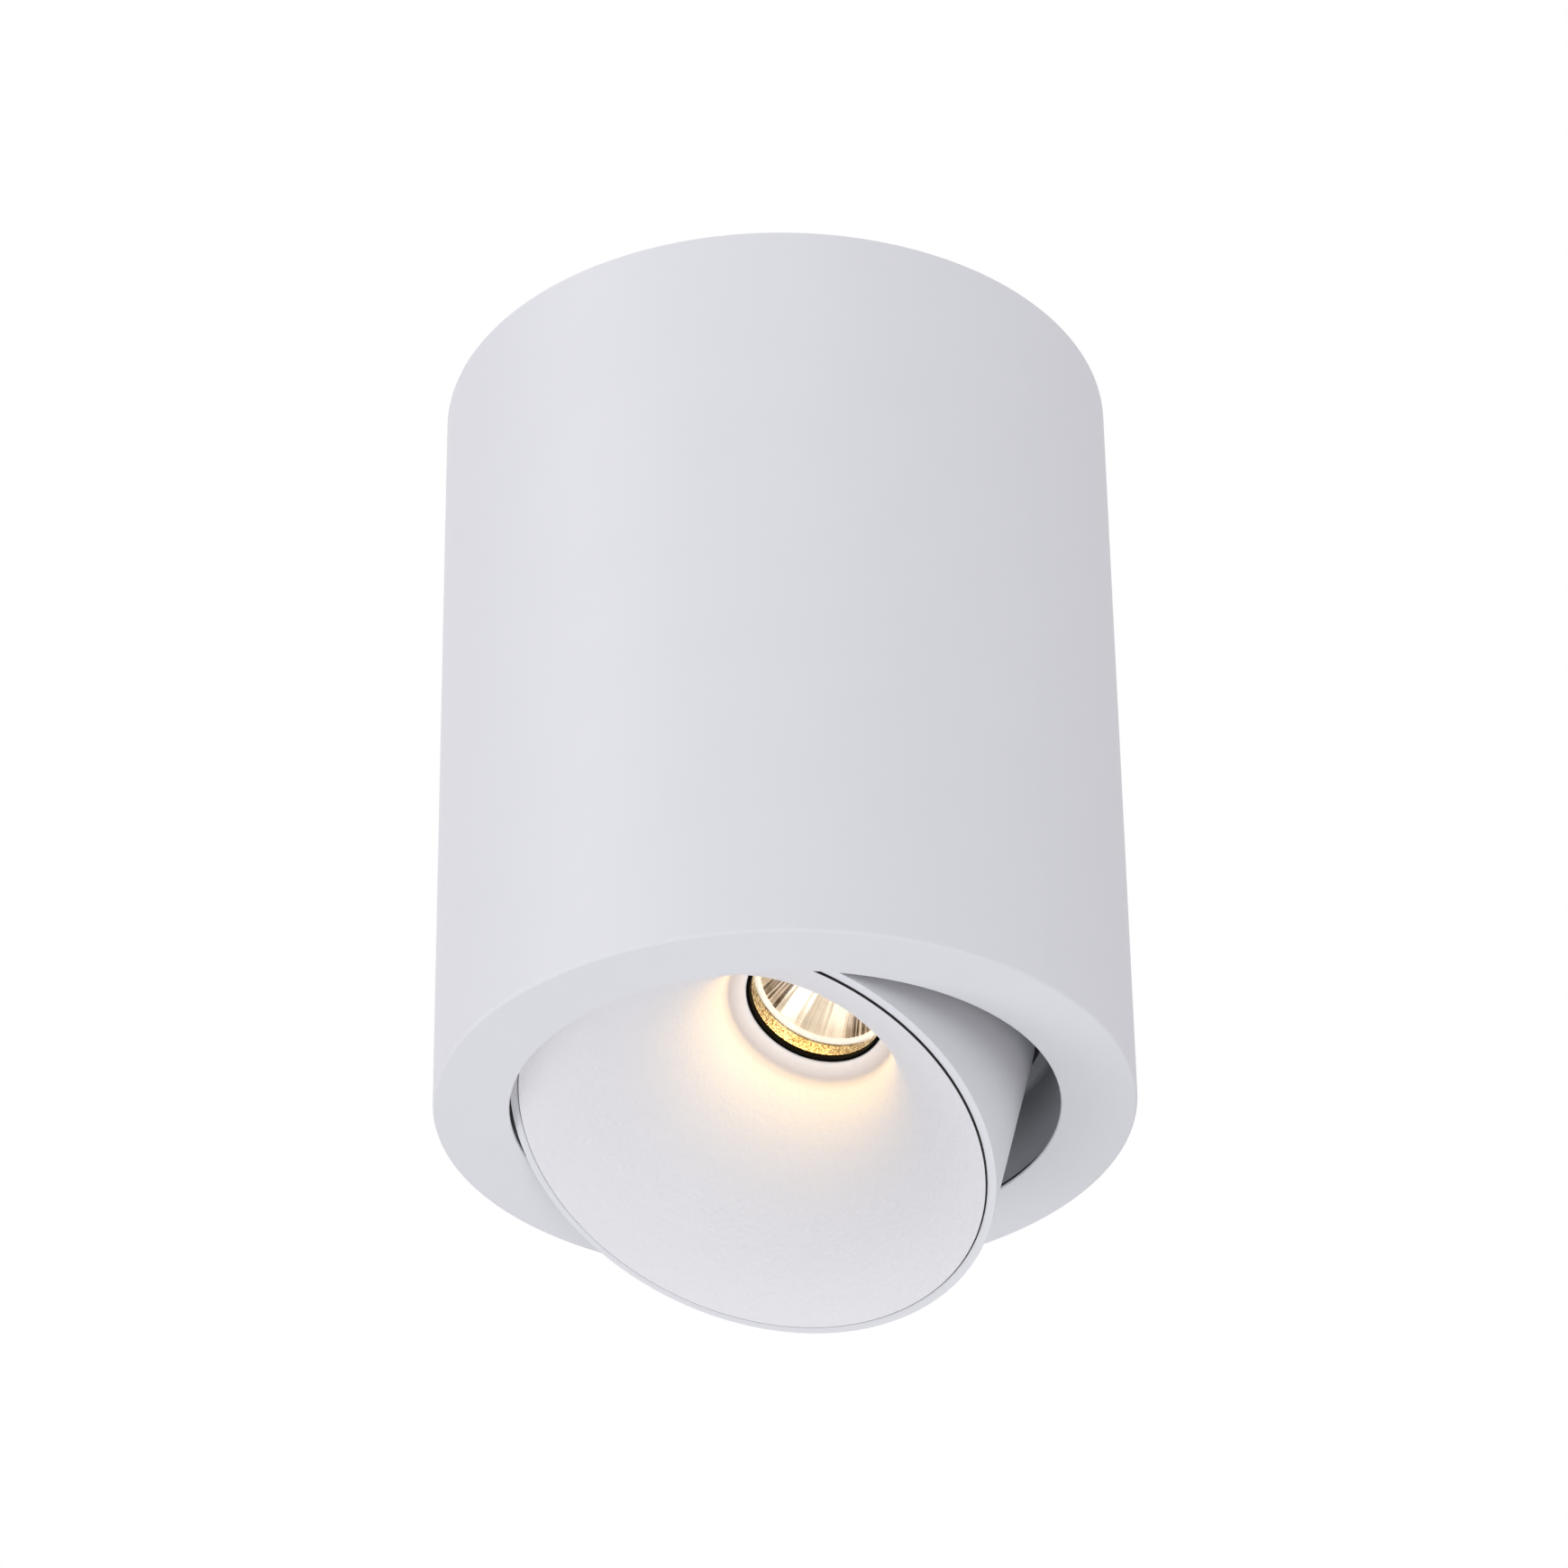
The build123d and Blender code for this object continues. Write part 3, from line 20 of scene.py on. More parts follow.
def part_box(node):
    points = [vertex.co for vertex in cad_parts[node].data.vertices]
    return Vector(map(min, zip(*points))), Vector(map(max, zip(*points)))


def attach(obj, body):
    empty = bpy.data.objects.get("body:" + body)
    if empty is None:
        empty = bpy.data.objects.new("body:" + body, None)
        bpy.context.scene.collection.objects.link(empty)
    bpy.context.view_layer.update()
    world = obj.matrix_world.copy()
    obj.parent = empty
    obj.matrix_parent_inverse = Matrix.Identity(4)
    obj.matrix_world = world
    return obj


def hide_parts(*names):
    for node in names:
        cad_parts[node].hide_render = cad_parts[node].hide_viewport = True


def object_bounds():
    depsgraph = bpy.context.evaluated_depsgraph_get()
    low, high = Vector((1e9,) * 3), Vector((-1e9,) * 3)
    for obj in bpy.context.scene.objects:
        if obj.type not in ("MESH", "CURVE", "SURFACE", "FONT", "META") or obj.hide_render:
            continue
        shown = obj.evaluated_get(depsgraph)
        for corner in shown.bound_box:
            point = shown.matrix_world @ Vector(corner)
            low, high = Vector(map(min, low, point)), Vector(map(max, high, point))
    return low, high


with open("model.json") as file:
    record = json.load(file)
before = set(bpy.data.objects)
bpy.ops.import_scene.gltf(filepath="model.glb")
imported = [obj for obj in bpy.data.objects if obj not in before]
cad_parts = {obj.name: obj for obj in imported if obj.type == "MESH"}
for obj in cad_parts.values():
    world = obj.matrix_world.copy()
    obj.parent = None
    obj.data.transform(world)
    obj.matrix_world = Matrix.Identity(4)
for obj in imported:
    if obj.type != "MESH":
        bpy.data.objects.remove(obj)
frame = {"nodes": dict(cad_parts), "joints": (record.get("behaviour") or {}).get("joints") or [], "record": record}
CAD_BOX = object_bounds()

MM = 0.001
LOG = logging.getLogger("light")

Colour = tuple[float, float, float]
Outline = Sequence[tuple[float, float]]
Socket = bpy.types.NodeSocket


class Body(str, Enum):
    """Bodies of the light that pieces ride on."""

    HOUSING = "housing"
    SWIVEL = "swivel"
    HEAD = "head"


class Slot(str, Enum):
    """Material slots of the light, one for each finish."""

    WHITE_PAINT = "white_paint"
    REFLECTOR_WHITE = "reflector_white"
    RING_GREY = "ring_grey"
    BLACK_RUBBER = "black_rubber"
    GOLD_COLLAR = "gold_collar"
    CLEAR_LENS = "clear_lens"
    MIRROR_CUP = "mirror_cup"
    WHITE_PLASTIC = "white_plastic"
    NYLON = "nylon"
    CHIP_BOARD = "chip_board"
    PHOSPHOR = "phosphor"
    PAD_GREY = "pad_grey"
    SINK_ALUMINIUM = "sink_aluminium"
    ZINC_STEEL = "zinc_steel"
    SCREW_STEEL = "screw_steel"
    BRASS = "brass"
    CIRCUIT_GREEN = "circuit_green"
    COIL_YELLOW = "coil_yellow"
    CAPACITOR_BLACK = "capacitor_black"
    LEAD_BROWN = "lead_brown"
    LEAD_BLUE = "lead_blue"
    LEAD_GREEN = "lead_green"
    LEAD_GREY = "lead_grey"


class NodeSheet:
    """Short way to add nodes to one shader tree and to wire them."""

    def __init__(self, tree: bpy.types.NodeTree) -> None:
        """Takes an empty tree.

        Args:
            tree: Node tree of a material, a world or a group.
        """
        self.tree = tree

    def add(self, kind: str, **settings: object) -> bpy.types.Node:
        """Adds one node.

        Args:
            kind: Blender's name of the node type.
            settings: Properties of the node to set.

        Returns:
            The new node.
        """
        node = self.tree.nodes.new(kind)
        for key, value in settings.items():
            setattr(node, key, value)
        return node

    def feed(self, target: Socket, value: object) -> None:
        """Wires a socket into a target, or sets the target to a plain value.

        Args:
            target: Input socket.
            value: Output socket to wire, or a value to set.
        """
        if isinstance(value, bpy.types.NodeSocket):
            self.tree.links.new(value, target)
        else:
            target.default_value = value

    def math(self, operation: str, first: object, second: object = 0.0) -> Socket:
        """Adds a Math node.

        Args:
            operation: Name of the operation.
            first: First socket or number.
            second: Second socket or number.

        Returns:
            The node's output.
        """
        node = self.add("ShaderNodeMath", operation=operation)
        self.feed(node.inputs[0], first)
        self.feed(node.inputs[1], second)
        return node.outputs[0]

    def spread(self, value: Socket, low: float, high: float, start: float = 0.0, end: float = 1.0) -> Socket:
        """Maps a value's span onto another span, held at its ends.

        Args:
            value: Socket to map.
            low: Result at the start of the span.
            high: Result at the end of the span.
            start: Value where the span starts.
            end: Value where the span ends.

        Returns:
            The mapped value.
        """
        node = self.add("ShaderNodeMapRange", clamp=True)
        for index, item in enumerate((value, start, end, low, high)):
            self.feed(node.inputs[index], item)
        return node.outputs[0]

    def blend(self, share: object, first: object, second: object) -> Socket:
        """Mixes two colours.

        Args:
            share: Share of the second colour, a socket or a number.
            first: First colour or socket.
            second: Second colour or socket.

        Returns:
            The mixed colour.
        """
        node = self.add("ShaderNodeMix", data_type="RGBA")
        self.feed(node.inputs[0], share)
        # A Mix node keeps its colour sockets behind those for numbers and vectors.
        self.feed(node.inputs[6], rgba(first))
        self.feed(node.inputs[7], rgba(second))
        return node.outputs[2]

    def noise(self, place: Socket, scale: object, detail: float = 2.0) -> Socket:
        """Adds soft three-dimensional noise.

        Args:
            place: Coordinates.
            scale: Cells per unit of the coordinates.
            detail: Octaves of finer noise.

        Returns:
            Noise from 0 to 1.
        """
        node = self.add("ShaderNodeTexNoise", noise_dimensions="3D")
        self.feed(node.inputs["Vector"], place)
        self.feed(node.inputs["Scale"], scale)
        self.feed(node.inputs["Detail"], detail)
        return node.outputs[0]

    def scaled(self, place: Socket, factors: object) -> Socket:
        """Multiplies coordinates along X, Y and Z.

        Args:
            place: Coordinates.
            factors: Vector socket or three numbers.

        Returns:
            Scaled coordinates.
        """
        node = self.add("ShaderNodeVectorMath", operation="MULTIPLY")
        self.feed(node.inputs[0], place)
        self.feed(node.inputs[1], factors)
        return node.outputs[0]

    def split(self, place: Socket) -> tuple[Socket, Socket, Socket]:
        """Splits coordinates into X, Y and Z."""
        node = self.add("ShaderNodeSeparateXYZ")
        self.feed(node.inputs[0], place)
        return node.outputs[0], node.outputs[1], node.outputs[2]

    def joined(self, x: object, y: object, z: object) -> Socket:
        """Joins three values into coordinates."""
        node = self.add("ShaderNodeCombineXYZ")
        for index, item in enumerate((x, y, z)):
            self.feed(node.inputs[index], item)
        return node.outputs[0]

    def radius(self, place: Socket) -> Socket:
        """Distance of a place from its Z axis."""
        x, y, _ = self.split(place)
        squares = self.math("ADD", self.math("MULTIPLY", x, x), self.math("MULTIPLY", y, y))
        return self.math("SQRT", squares)

    def bump(self, height: Socket, depth: float) -> Socket:
        """Turns a height into a bumped normal.

        Args:
            height: Height from 0 to 1.
            depth: Depth of the relief.

        Returns:
            The normal.
        """
        node = self.add("ShaderNodeBump")
        self.feed(node.inputs["Height"], height)
        self.feed(node.inputs["Distance"], depth)
        self.feed(node.inputs["Strength"], 1.0)
        return node.outputs[0]

    def place(self) -> Socket:
        """Coordinates of the surface in its object's own frame."""
        return self.add("ShaderNodeTexCoord").outputs["Object"]


def rgba(value: object) -> object:
    """Gives a plain colour its alpha and leaves a socket as it is."""
    if isinstance(value, bpy.types.NodeSocket):
        return value
    return (*value, 1.0)


def shade(colour: Colour, factor: float) -> Colour:
    """Lighter or darker tone of a colour."""
    return tuple(min(1.0, part * factor) for part in colour)


def new_material(name: str) -> tuple[bpy.types.Material, NodeSheet]:
    """Makes a material without nodes.

    Args:
        name: Name of the material.

    Returns:
        The material and the sheet of its tree.
    """
    made = bpy.data.materials.new(name)
    made.use_nodes = True
    made.node_tree.nodes.clear()
    return made, NodeSheet(made.node_tree)


def new_object(name: str, data: bpy.types.ID) -> bpy.types.Object:
    """Adds an object to the scene.

    Args:
        name: Name of the object.
        data: Its mesh, lamp or camera.

    Returns:
        The new object.
    """
    item = bpy.data.objects.new(name, data)
    bpy.context.scene.collection.objects.link(item)
    return item


class EffectGroup(ABC):
    """Shader node group that several finishes place with values of their own."""

    name: ClassVar[str]
    inputs: ClassVar[tuple[tuple[str, str], ...]]
    outputs: ClassVar[tuple[str, ...]]

    @classmethod
    def tree(cls) -> bpy.types.NodeTree:
        """Builds the group once.

        Returns:
            The group's node tree.
        """
        made = bpy.data.node_groups.get(cls.name)
        if made is not None:
            return made
        made = bpy.data.node_groups.new(cls.name, "ShaderNodeTree")
        for label, kind in cls.inputs:
            made.interface.new_socket(label, in_out="INPUT", socket_type=kind)
        for label in cls.outputs:
            made.interface.new_socket(label, in_out="OUTPUT", socket_type="NodeSocketFloat")
        sheet = NodeSheet(made)
        start = sheet.add("NodeGroupInput")
        end = sheet.add("NodeGroupOutput")
        cls.wire(sheet, start, end)
        return made

    @classmethod
    @abstractmethod
    def wire(cls, sheet: NodeSheet, start: bpy.types.Node, end: bpy.types.Node) -> None:
        """Adds the group's own nodes between its input and output nodes."""

    @classmethod
    def put(cls, sheet: NodeSheet, **values: object) -> bpy.types.Node:
        """Places the group in a material.

        Args:
            sheet: Sheet of the material.
            values: Sockets or plain values by input name.

        Returns:
            The group's node.
        """
        node = sheet.add("ShaderNodeGroup")
        node.node_tree = cls.tree()
        for label, value in values.items():
            sheet.feed(node.inputs[label], value)
        return node


class FineGrain(EffectGroup):
    """Fine even grain with a slow change of tone, as on powder coat and moulded skins."""

    name = "fine_grain"
    inputs = (("Place", "NodeSocketVector"), ("Per Metre", "NodeSocketFloat"))
    outputs = ("Height", "Tone")
    COARSE_SCALE: ClassVar[float] = 0.35
    TONE_SCALE: ClassVar[float] = 0.02
    SMALL_SHARE: ClassVar[float] = 0.7
    COARSE_SHARE: ClassVar[float] = 0.3

    @classmethod
    def wire(cls, sheet: NodeSheet, start: bpy.types.Node, end: bpy.types.Node) -> None:
        """Mixes two sizes of noise into the height and takes a third for the tone."""
        place = start.outputs["Place"]
        fine = start.outputs["Per Metre"]
        small = sheet.noise(place, fine, detail=3.0)
        coarse = sheet.noise(place, sheet.math("MULTIPLY", fine, cls.COARSE_SCALE), detail=1.0)
        small_part = sheet.math("MULTIPLY", small, cls.SMALL_SHARE)
        coarse_part = sheet.math("MULTIPLY", coarse, cls.COARSE_SHARE)
        tone = sheet.noise(place, sheet.math("MULTIPLY", fine, cls.TONE_SCALE))
        sheet.feed(end.inputs["Height"], sheet.math("ADD", small_part, coarse_part))
        sheet.feed(end.inputs["Tone"], tone)


class DrawnLines(EffectGroup):
    """Long fine lines from rolling, drawing or brushing."""

    name = "drawn_lines"
    inputs = (("Place", "NodeSocketVector"), ("Stretch", "NodeSocketVector"))
    outputs = ("Height", "Tone")
    TONE_SCALE: ClassVar[float] = 0.12

    @classmethod
    def wire(cls, sheet: NodeSheet, start: bpy.types.Node, end: bpy.types.Node) -> None:
        """Stretches noise along one direction."""
        place = sheet.scaled(start.outputs["Place"], start.outputs["Stretch"])
        sheet.feed(end.inputs["Height"], sheet.noise(place, 1.0, detail=4.0))
        sheet.feed(end.inputs["Tone"], sheet.noise(place, cls.TONE_SCALE))


class TurnedRings(EffectGroup):
    """Fine rings left by a lathe, around the Z axis of the coordinates."""

    name = "turned_rings"
    inputs = (("Place", "NodeSocketVector"), ("Per Metre", "NodeSocketFloat"))
    outputs = ("Height", "Tone")
    TONE_SCALE: ClassVar[float] = 0.08

    @classmethod
    def wire(cls, sheet: NodeSheet, start: bpy.types.Node, end: bpy.types.Node) -> None:
        """Takes noise along the radius and the height alone."""
        place = start.outputs["Place"]
        _, _, height = sheet.split(place)
        rings = sheet.joined(sheet.radius(place), 0.0, height)
        lines = sheet.noise(rings, start.outputs["Per Metre"], detail=3.0)
        sheet.feed(end.inputs["Height"], lines)
        slow = sheet.math("MULTIPLY", start.outputs["Per Metre"], cls.TONE_SCALE)
        sheet.feed(end.inputs["Tone"], sheet.noise(place, slow))


class FluteStripes(EffectGroup):
    """Stripes drawn along the flutes of a cup, weaker on the flutes of painted reflection zones than on others."""

    name = "flute_stripes"
    inputs = (
        ("Place", "NodeSocketVector"), ("Flutes", "NodeSocketFloat"), ("Lines", "NodeSocketFloat"),
        ("Reflection Zones", "NodeSocketFloat"), ("Reflection Way", "NodeSocketFloat"),
    )
    outputs = ("Height", "Tone")
    ALONG_PER_METRE: ClassVar[float] = 60.0

    @classmethod
    def wire(cls, sheet: NodeSheet, start: bpy.types.Node, end: bpy.types.Node) -> None:
        """Takes noise of the angle for the stripes, and one level for each flute that rises and falls around the
        cup through painted reflection zones.
        """
        x, y, depth = sheet.split(start.outputs["Place"])
        angle = sheet.math("ARCTAN2", y, x)
        across = sheet.math("MULTIPLY", angle, start.outputs["Lines"])
        along = sheet.math("MULTIPLY", depth, cls.ALONG_PER_METRE)
        lines = sheet.noise(sheet.joined(across, 0.0, along), 1.0, detail=3.0)
        sheet.feed(end.inputs["Height"], lines)
        width = sheet.math("DIVIDE", math.tau, start.outputs["Flutes"])
        flute = sheet.math("SNAP", angle, width)
        from_reflection = sheet.math("SUBTRACT", flute, start.outputs["Reflection Way"])
        turn = sheet.math("MULTIPLY", from_reflection, start.outputs["Reflection Zones"])
        sheet.feed(end.inputs["Tone"], sheet.spread(sheet.math("COSINE", turn), 1.0, 0.0, -1.0, 1.0))


@dataclass(frozen=True)
class HeadPlace:
    """Frame of the lamp head at rest, worked out from the tilt joint and the tube's lower face.

    Attributes:
        matrix: Place of the head's own frame in the row frame.
    """

    matrix: Matrix

    @classmethod
    def from_frame(cls) -> "HeadPlace":
        """Reads the tilt joint.

        Returns:
            The head's place.
        """
        tilt = next(joint for joint in frame["joints"] if joint["name"] == "tilt")
        rest_tilt = math.radians(-tilt["range_deg"][0])
        pivot = Vector(tilt["pos_m"])
        lower_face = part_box("housing")[0].z
        turn = Matrix.Translation(pivot) @ Matrix.Rotation(-rest_tilt, 4, "X") @ Matrix.Translation(-pivot)
        return cls(turn @ Matrix.Translation((0.0, 0.0, lower_face)))

    def coordinates(self, sheet: NodeSheet) -> Socket:
        """Coordinates of a solid from the frame, turned into the head's own frame.

        Args:
            sheet: Sheet of the material.

        Returns:
            Coordinates about the head's axis.
        """
        node = sheet.add("ShaderNodeMapping", vector_type="TEXTURE")
        sheet.feed(node.inputs["Vector"], sheet.place())
        node.inputs["Location"].default_value = self.matrix.to_translation()
        node.inputs["Rotation"].default_value = self.matrix.to_euler()
        return node.outputs[0]


@dataclass(frozen=True)
class Finish(ABC):
    """Finish of one material slot.

    Attributes:
        slot: Slot that the finish belongs to.
        colour: Main colour, linear.
        roughness: Middle roughness.
    """

    slot: Slot
    colour: Colour
    roughness: float

    METALLIC: ClassVar[float] = 0.0
    SUFFIX: ClassVar[str] = ""
    HEIGHT_SPAN: ClassVar[tuple[float, float]] = (0.3, 0.7)

    def material(self) -> bpy.types.Material:
        """Makes the material.

        Returns:
            Material with its shader and its detail.
        """
        made, sheet = new_material(self.slot.value + self.SUFFIX)
        made.diffuse_color = rgba(self.colour)
        shader = sheet.add("ShaderNodeBsdfPrincipled")
        output = sheet.add("ShaderNodeOutputMaterial")
        sheet.feed(output.inputs["Surface"], shader.outputs["BSDF"])
        shader.inputs["Metallic"].default_value = self.METALLIC
        self.paint(sheet, shader)
        return made

    @abstractmethod
    def paint(self, sheet: NodeSheet, shader: bpy.types.Node) -> None:
        """Wires the finish's detail into the shader."""

    def skin(
        self, sheet: NodeSheet, shader: bpy.types.Node, effect: bpy.types.Node, change: "Change",
    ) -> None:
        """Wires an effect's height and tone into colour, roughness and normal.

        Args:
            sheet: Sheet of the material.
            shader: Its shader.
            effect: Effect group with a height and a tone.
            change: How far the effect changes the surface.
        """
        tone = effect.outputs["Tone"]
        height = effect.outputs["Height"]
        dark = shade(self.colour, 1.0 - change.colour)
        light = shade(self.colour, 1.0 + change.colour)
        sheet.feed(shader.inputs["Base Color"], sheet.blend(tone, dark, light))
        low = self.roughness - change.roughness
        high = self.roughness + change.roughness
        sheet.feed(shader.inputs["Roughness"], sheet.spread(height, low, high, *self.HEIGHT_SPAN))
        sheet.feed(shader.inputs["Normal"], sheet.bump(height, change.depth))


@dataclass(frozen=True)
class Change:
    """How far an effect changes a surface.

    Attributes:
        colour: Change of colour each way, as a share.
        roughness: Change of roughness each way.
        depth: Depth of the relief.
    """

    colour: float
    roughness: float
    depth: float


@dataclass(frozen=True)
class GrainedSkin(Finish):
    """Painted, moulded or rubber skin with fine grain.

    Attributes:
        grain: Size of one grain.
        change: How far the grain changes the surface.
        specular: Strength of the gloss.
    """

    grain: float = 0.3 * MM
    change: Change = Change(0.02, 0.06, 0.02 * MM)
    specular: float = 0.4

    def paint(self, sheet: NodeSheet, shader: bpy.types.Node) -> None:
        """Wires the grain."""
        shader.inputs["Specular IOR Level"].default_value = self.specular
        effect = FineGrain.put(sheet, **{"Place": sheet.place(), "Per Metre": 1.0 / self.grain})
        self.skin(sheet, shader, effect, self.change)


@dataclass(frozen=True)
class RolledMetal(Finish):
    """Sheet metal or a cast or blasted metal, with lines along one direction.

    Attributes:
        stretch: Lines per metre along X, Y and Z.
        change: How far the lines change the surface.
    """

    METALLIC: ClassVar[float] = 1.0
    stretch: tuple[float, float, float] = (200.0, 4000.0, 4000.0)
    change: Change = Change(0.06, 0.08, 0.01 * MM)

    def paint(self, sheet: NodeSheet, shader: bpy.types.Node) -> None:
        """Wires the lines."""
        effect = DrawnLines.put(sheet, Place=sheet.place(), Stretch=self.stretch)
        self.skin(sheet, shader, effect, self.change)


@dataclass(frozen=True)
class ReflectorSkin(GrainedSkin):
    """Moulded white skin of the reflector, with painted shade in the ledge's corner and a painted shadow line on
    its outer edge.

    Attributes:
        head: Frame of the lamp head.
        edge: Radius where the painted shadow line on the outer edge starts.
        seam_shadow: Colour of that painted shadow line, near black.
        corner: Radius of the ledge's outer corner.
        inner: Width of the painted shade band on the ledge.
        outer: Width of the painted shade band on the flare.
        darkening: Colour of the painted shade in the corner.
    """

    head: HeadPlace | None = None
    edge: float = 40.65 * MM
    seam_shadow: Colour = (0.012, 0.012, 0.014)
    corner: float = 14.9 * MM
    inner: float = 2.0 * MM
    outer: float = 0.7 * MM
    darkening: Colour = (0.63, 0.6, 0.61)

    def paint(self, sheet: NodeSheet, shader: bpy.types.Node) -> None:
        """Wires the grain, the painted shade in the corner and the painted shadow line on the outer edge."""
        super().paint(sheet, shader)
        skin = shader.inputs["Base Color"].links[0].from_socket
        radius = sheet.radius(self.head.coordinates(sheet))
        # Painted shade: the colour darkens in a soft band round the ledge's outer corner, where shade falls.
        rise = sheet.spread(radius, 0.0, 1.0, self.corner - self.inner, self.corner)
        fall = sheet.spread(radius, 1.0, 0.0, self.corner, self.corner + self.outer)
        corner_shaded = sheet.blend(sheet.math("MULTIPLY", rise, fall), skin, self.darkening)
        # Painted shadow line: past this radius the reflector's edge is coloured near black, for the shade in the
        # seam.
        outside = sheet.math("GREATER_THAN", radius, self.edge)
        sheet.feed(shader.inputs["Base Color"], sheet.blend(outside, corner_shaded, self.seam_shadow))


@dataclass(frozen=True)
class GoldBand(Finish):
    """Gold ring with fine turning lines and a speckled polish.

    Attributes:
        head: Frame of the lamp head.
        pitch: Distance between turning lines.
        speck: Size of one speckle.
        tarnish: Colour between the speckles.
        change: How far the lines change the surface.
    """

    METALLIC: ClassVar[float] = 1.0
    head: HeadPlace | None = None
    pitch: float = 0.25 * MM
    speck: float = 0.35 * MM
    tarnish: Colour = (0.36, 0.14, 0.02)
    change: Change = Change(0.1, 0.08, 0.01 * MM)

    TARNISH_SHARE: ClassVar[float] = 0.9
    SPECK_SPAN: ClassVar[tuple[float, float]] = (0.4, 0.56)

    def paint(self, sheet: NodeSheet, shader: bpy.types.Node) -> None:
        """Wires the rings and the speckles."""
        place = self.head.coordinates(sheet)
        effect = TurnedRings.put(sheet, **{"Place": place, "Per Metre": 1.0 / self.pitch})
        self.skin(sheet, shader, effect, self.change)
        polish = shader.inputs["Base Color"].links[0].from_socket
        specks = sheet.noise(place, 1.0 / self.speck, detail=3.0)
        share = sheet.spread(specks, self.TARNISH_SHARE, 0.0, *self.SPECK_SPAN)
        sheet.feed(shader.inputs["Base Color"], sheet.blend(share, polish, self.tarnish))


@dataclass(frozen=True)
class ClearGlass(Finish):
    """Clear lens with a faint polish haze."""

    IOR: ClassVar[float] = 1.49
    HAZE_PER_METRE: ClassVar[float] = 300.0

    def paint(self, sheet: NodeSheet, shader: bpy.types.Node) -> None:
        """Wires a faint change of roughness."""
        shader.inputs["Base Color"].default_value = rgba(self.colour)
        shader.inputs["Transmission Weight"].default_value = 1.0
        shader.inputs["IOR"].default_value = self.IOR
        haze = sheet.noise(sheet.place(), self.HAZE_PER_METRE)
        sheet.feed(shader.inputs["Roughness"], sheet.spread(haze, self.roughness, 2.0 * self.roughness))


@dataclass(frozen=True)
class BrightFacets(Finish):
    """Bright metal flutes with drawn stripes, with painted reflection zones where the stripes fade and a painted
    glow of the chip's warm light.

    Attributes:
        glow: Colour of the painted glow of the chip's warm light in the cup.
        glow_strength: Strength of that painted glow.
        stripe: Colour of the dull stripes.
        flutes: Flutes around the cup.
        lines: Drawn lines in one radian.
        reflection_zones: Painted reflection zones around the cup, with the dull stripes between them.
        reflection_way: Direction of the middle of a painted reflection zone.
        change: How far the stripes change the surface.
    """

    METALLIC: ClassVar[float] = 1.0
    glow: Colour = (1.0, 0.84, 0.66)
    glow_strength: float = 0.2
    stripe: Colour = (0.1, 0.06, 0.03)
    flutes: float = 16.0
    lines: float = 22.0
    reflection_zones: float = 3.0
    reflection_way: float = 2.3
    change: Change = Change(0.08, 0.06, 0.01 * MM)

    STRIPE_SPAN: ClassVar[tuple[float, float]] = (0.36, 0.62)
    ZONE_SPAN: ClassVar[tuple[float, float]] = (0.3, 0.7)
    STRIPES_IN_REFLECTION: ClassVar[float] = 0.15

    def paint(self, sheet: NodeSheet, shader: bpy.types.Node) -> None:
        """Wires the drawn stripes, the painted reflection zones and the painted glow into the metal."""
        effect = FluteStripes.put(sheet, **{
            "Place": sheet.place(), "Flutes": self.flutes, "Lines": self.lines,
            "Reflection Zones": self.reflection_zones, "Reflection Way": self.reflection_way,
        })
        self.skin(sheet, shader, effect, self.change)
        stripes = sheet.spread(effect.outputs["Height"], 1.0, 0.0, *self.STRIPE_SPAN)
        reflection_zones = sheet.spread(effect.outputs["Tone"], self.STRIPES_IN_REFLECTION, 1.0, *self.ZONE_SPAN)
        darkening = sheet.math("MULTIPLY", stripes, reflection_zones)
        # Painted reflection and glow: the metal is lighter, and the chip's light is painted as emission, where the
        # stripes fade in the reflection zones.
        sheet.feed(shader.inputs["Base Color"], sheet.blend(darkening, self.colour, self.stripe))
        sheet.feed(shader.inputs["Emission Color"], sheet.blend(darkening, self.glow, self.stripe))
        shader.inputs["Emission Strength"].default_value = self.glow_strength


@dataclass(frozen=True)
class LitPlastic(GrainedSkin):
    """Pale plastic with a painted glow for the light that shines through it.

    Attributes:
        glow: Colour of the painted glow.
        glow_strength: Strength of the painted glow.
    """

    SUFFIX: ClassVar[str] = "_lit"
    glow: Colour = (1.0, 0.94, 0.82)
    glow_strength: float = 0.76

    VEIL_PER_METRE: ClassVar[float] = 700.0
    VEIL_TONE: ClassVar[float] = 0.85

    def paint(self, sheet: NodeSheet, shader: bpy.types.Node) -> None:
        """Wires the grain and the painted glow."""
        super().paint(sheet, shader)
        veil = sheet.noise(sheet.place(), self.VEIL_PER_METRE)
        dim = shade(self.glow, self.VEIL_TONE)
        # Painted glow: the plastic is given emission for the chip's light in it.
        sheet.feed(shader.inputs["Emission Color"], sheet.blend(veil, dim, self.glow))
        shader.inputs["Emission Strength"].default_value = self.glow_strength


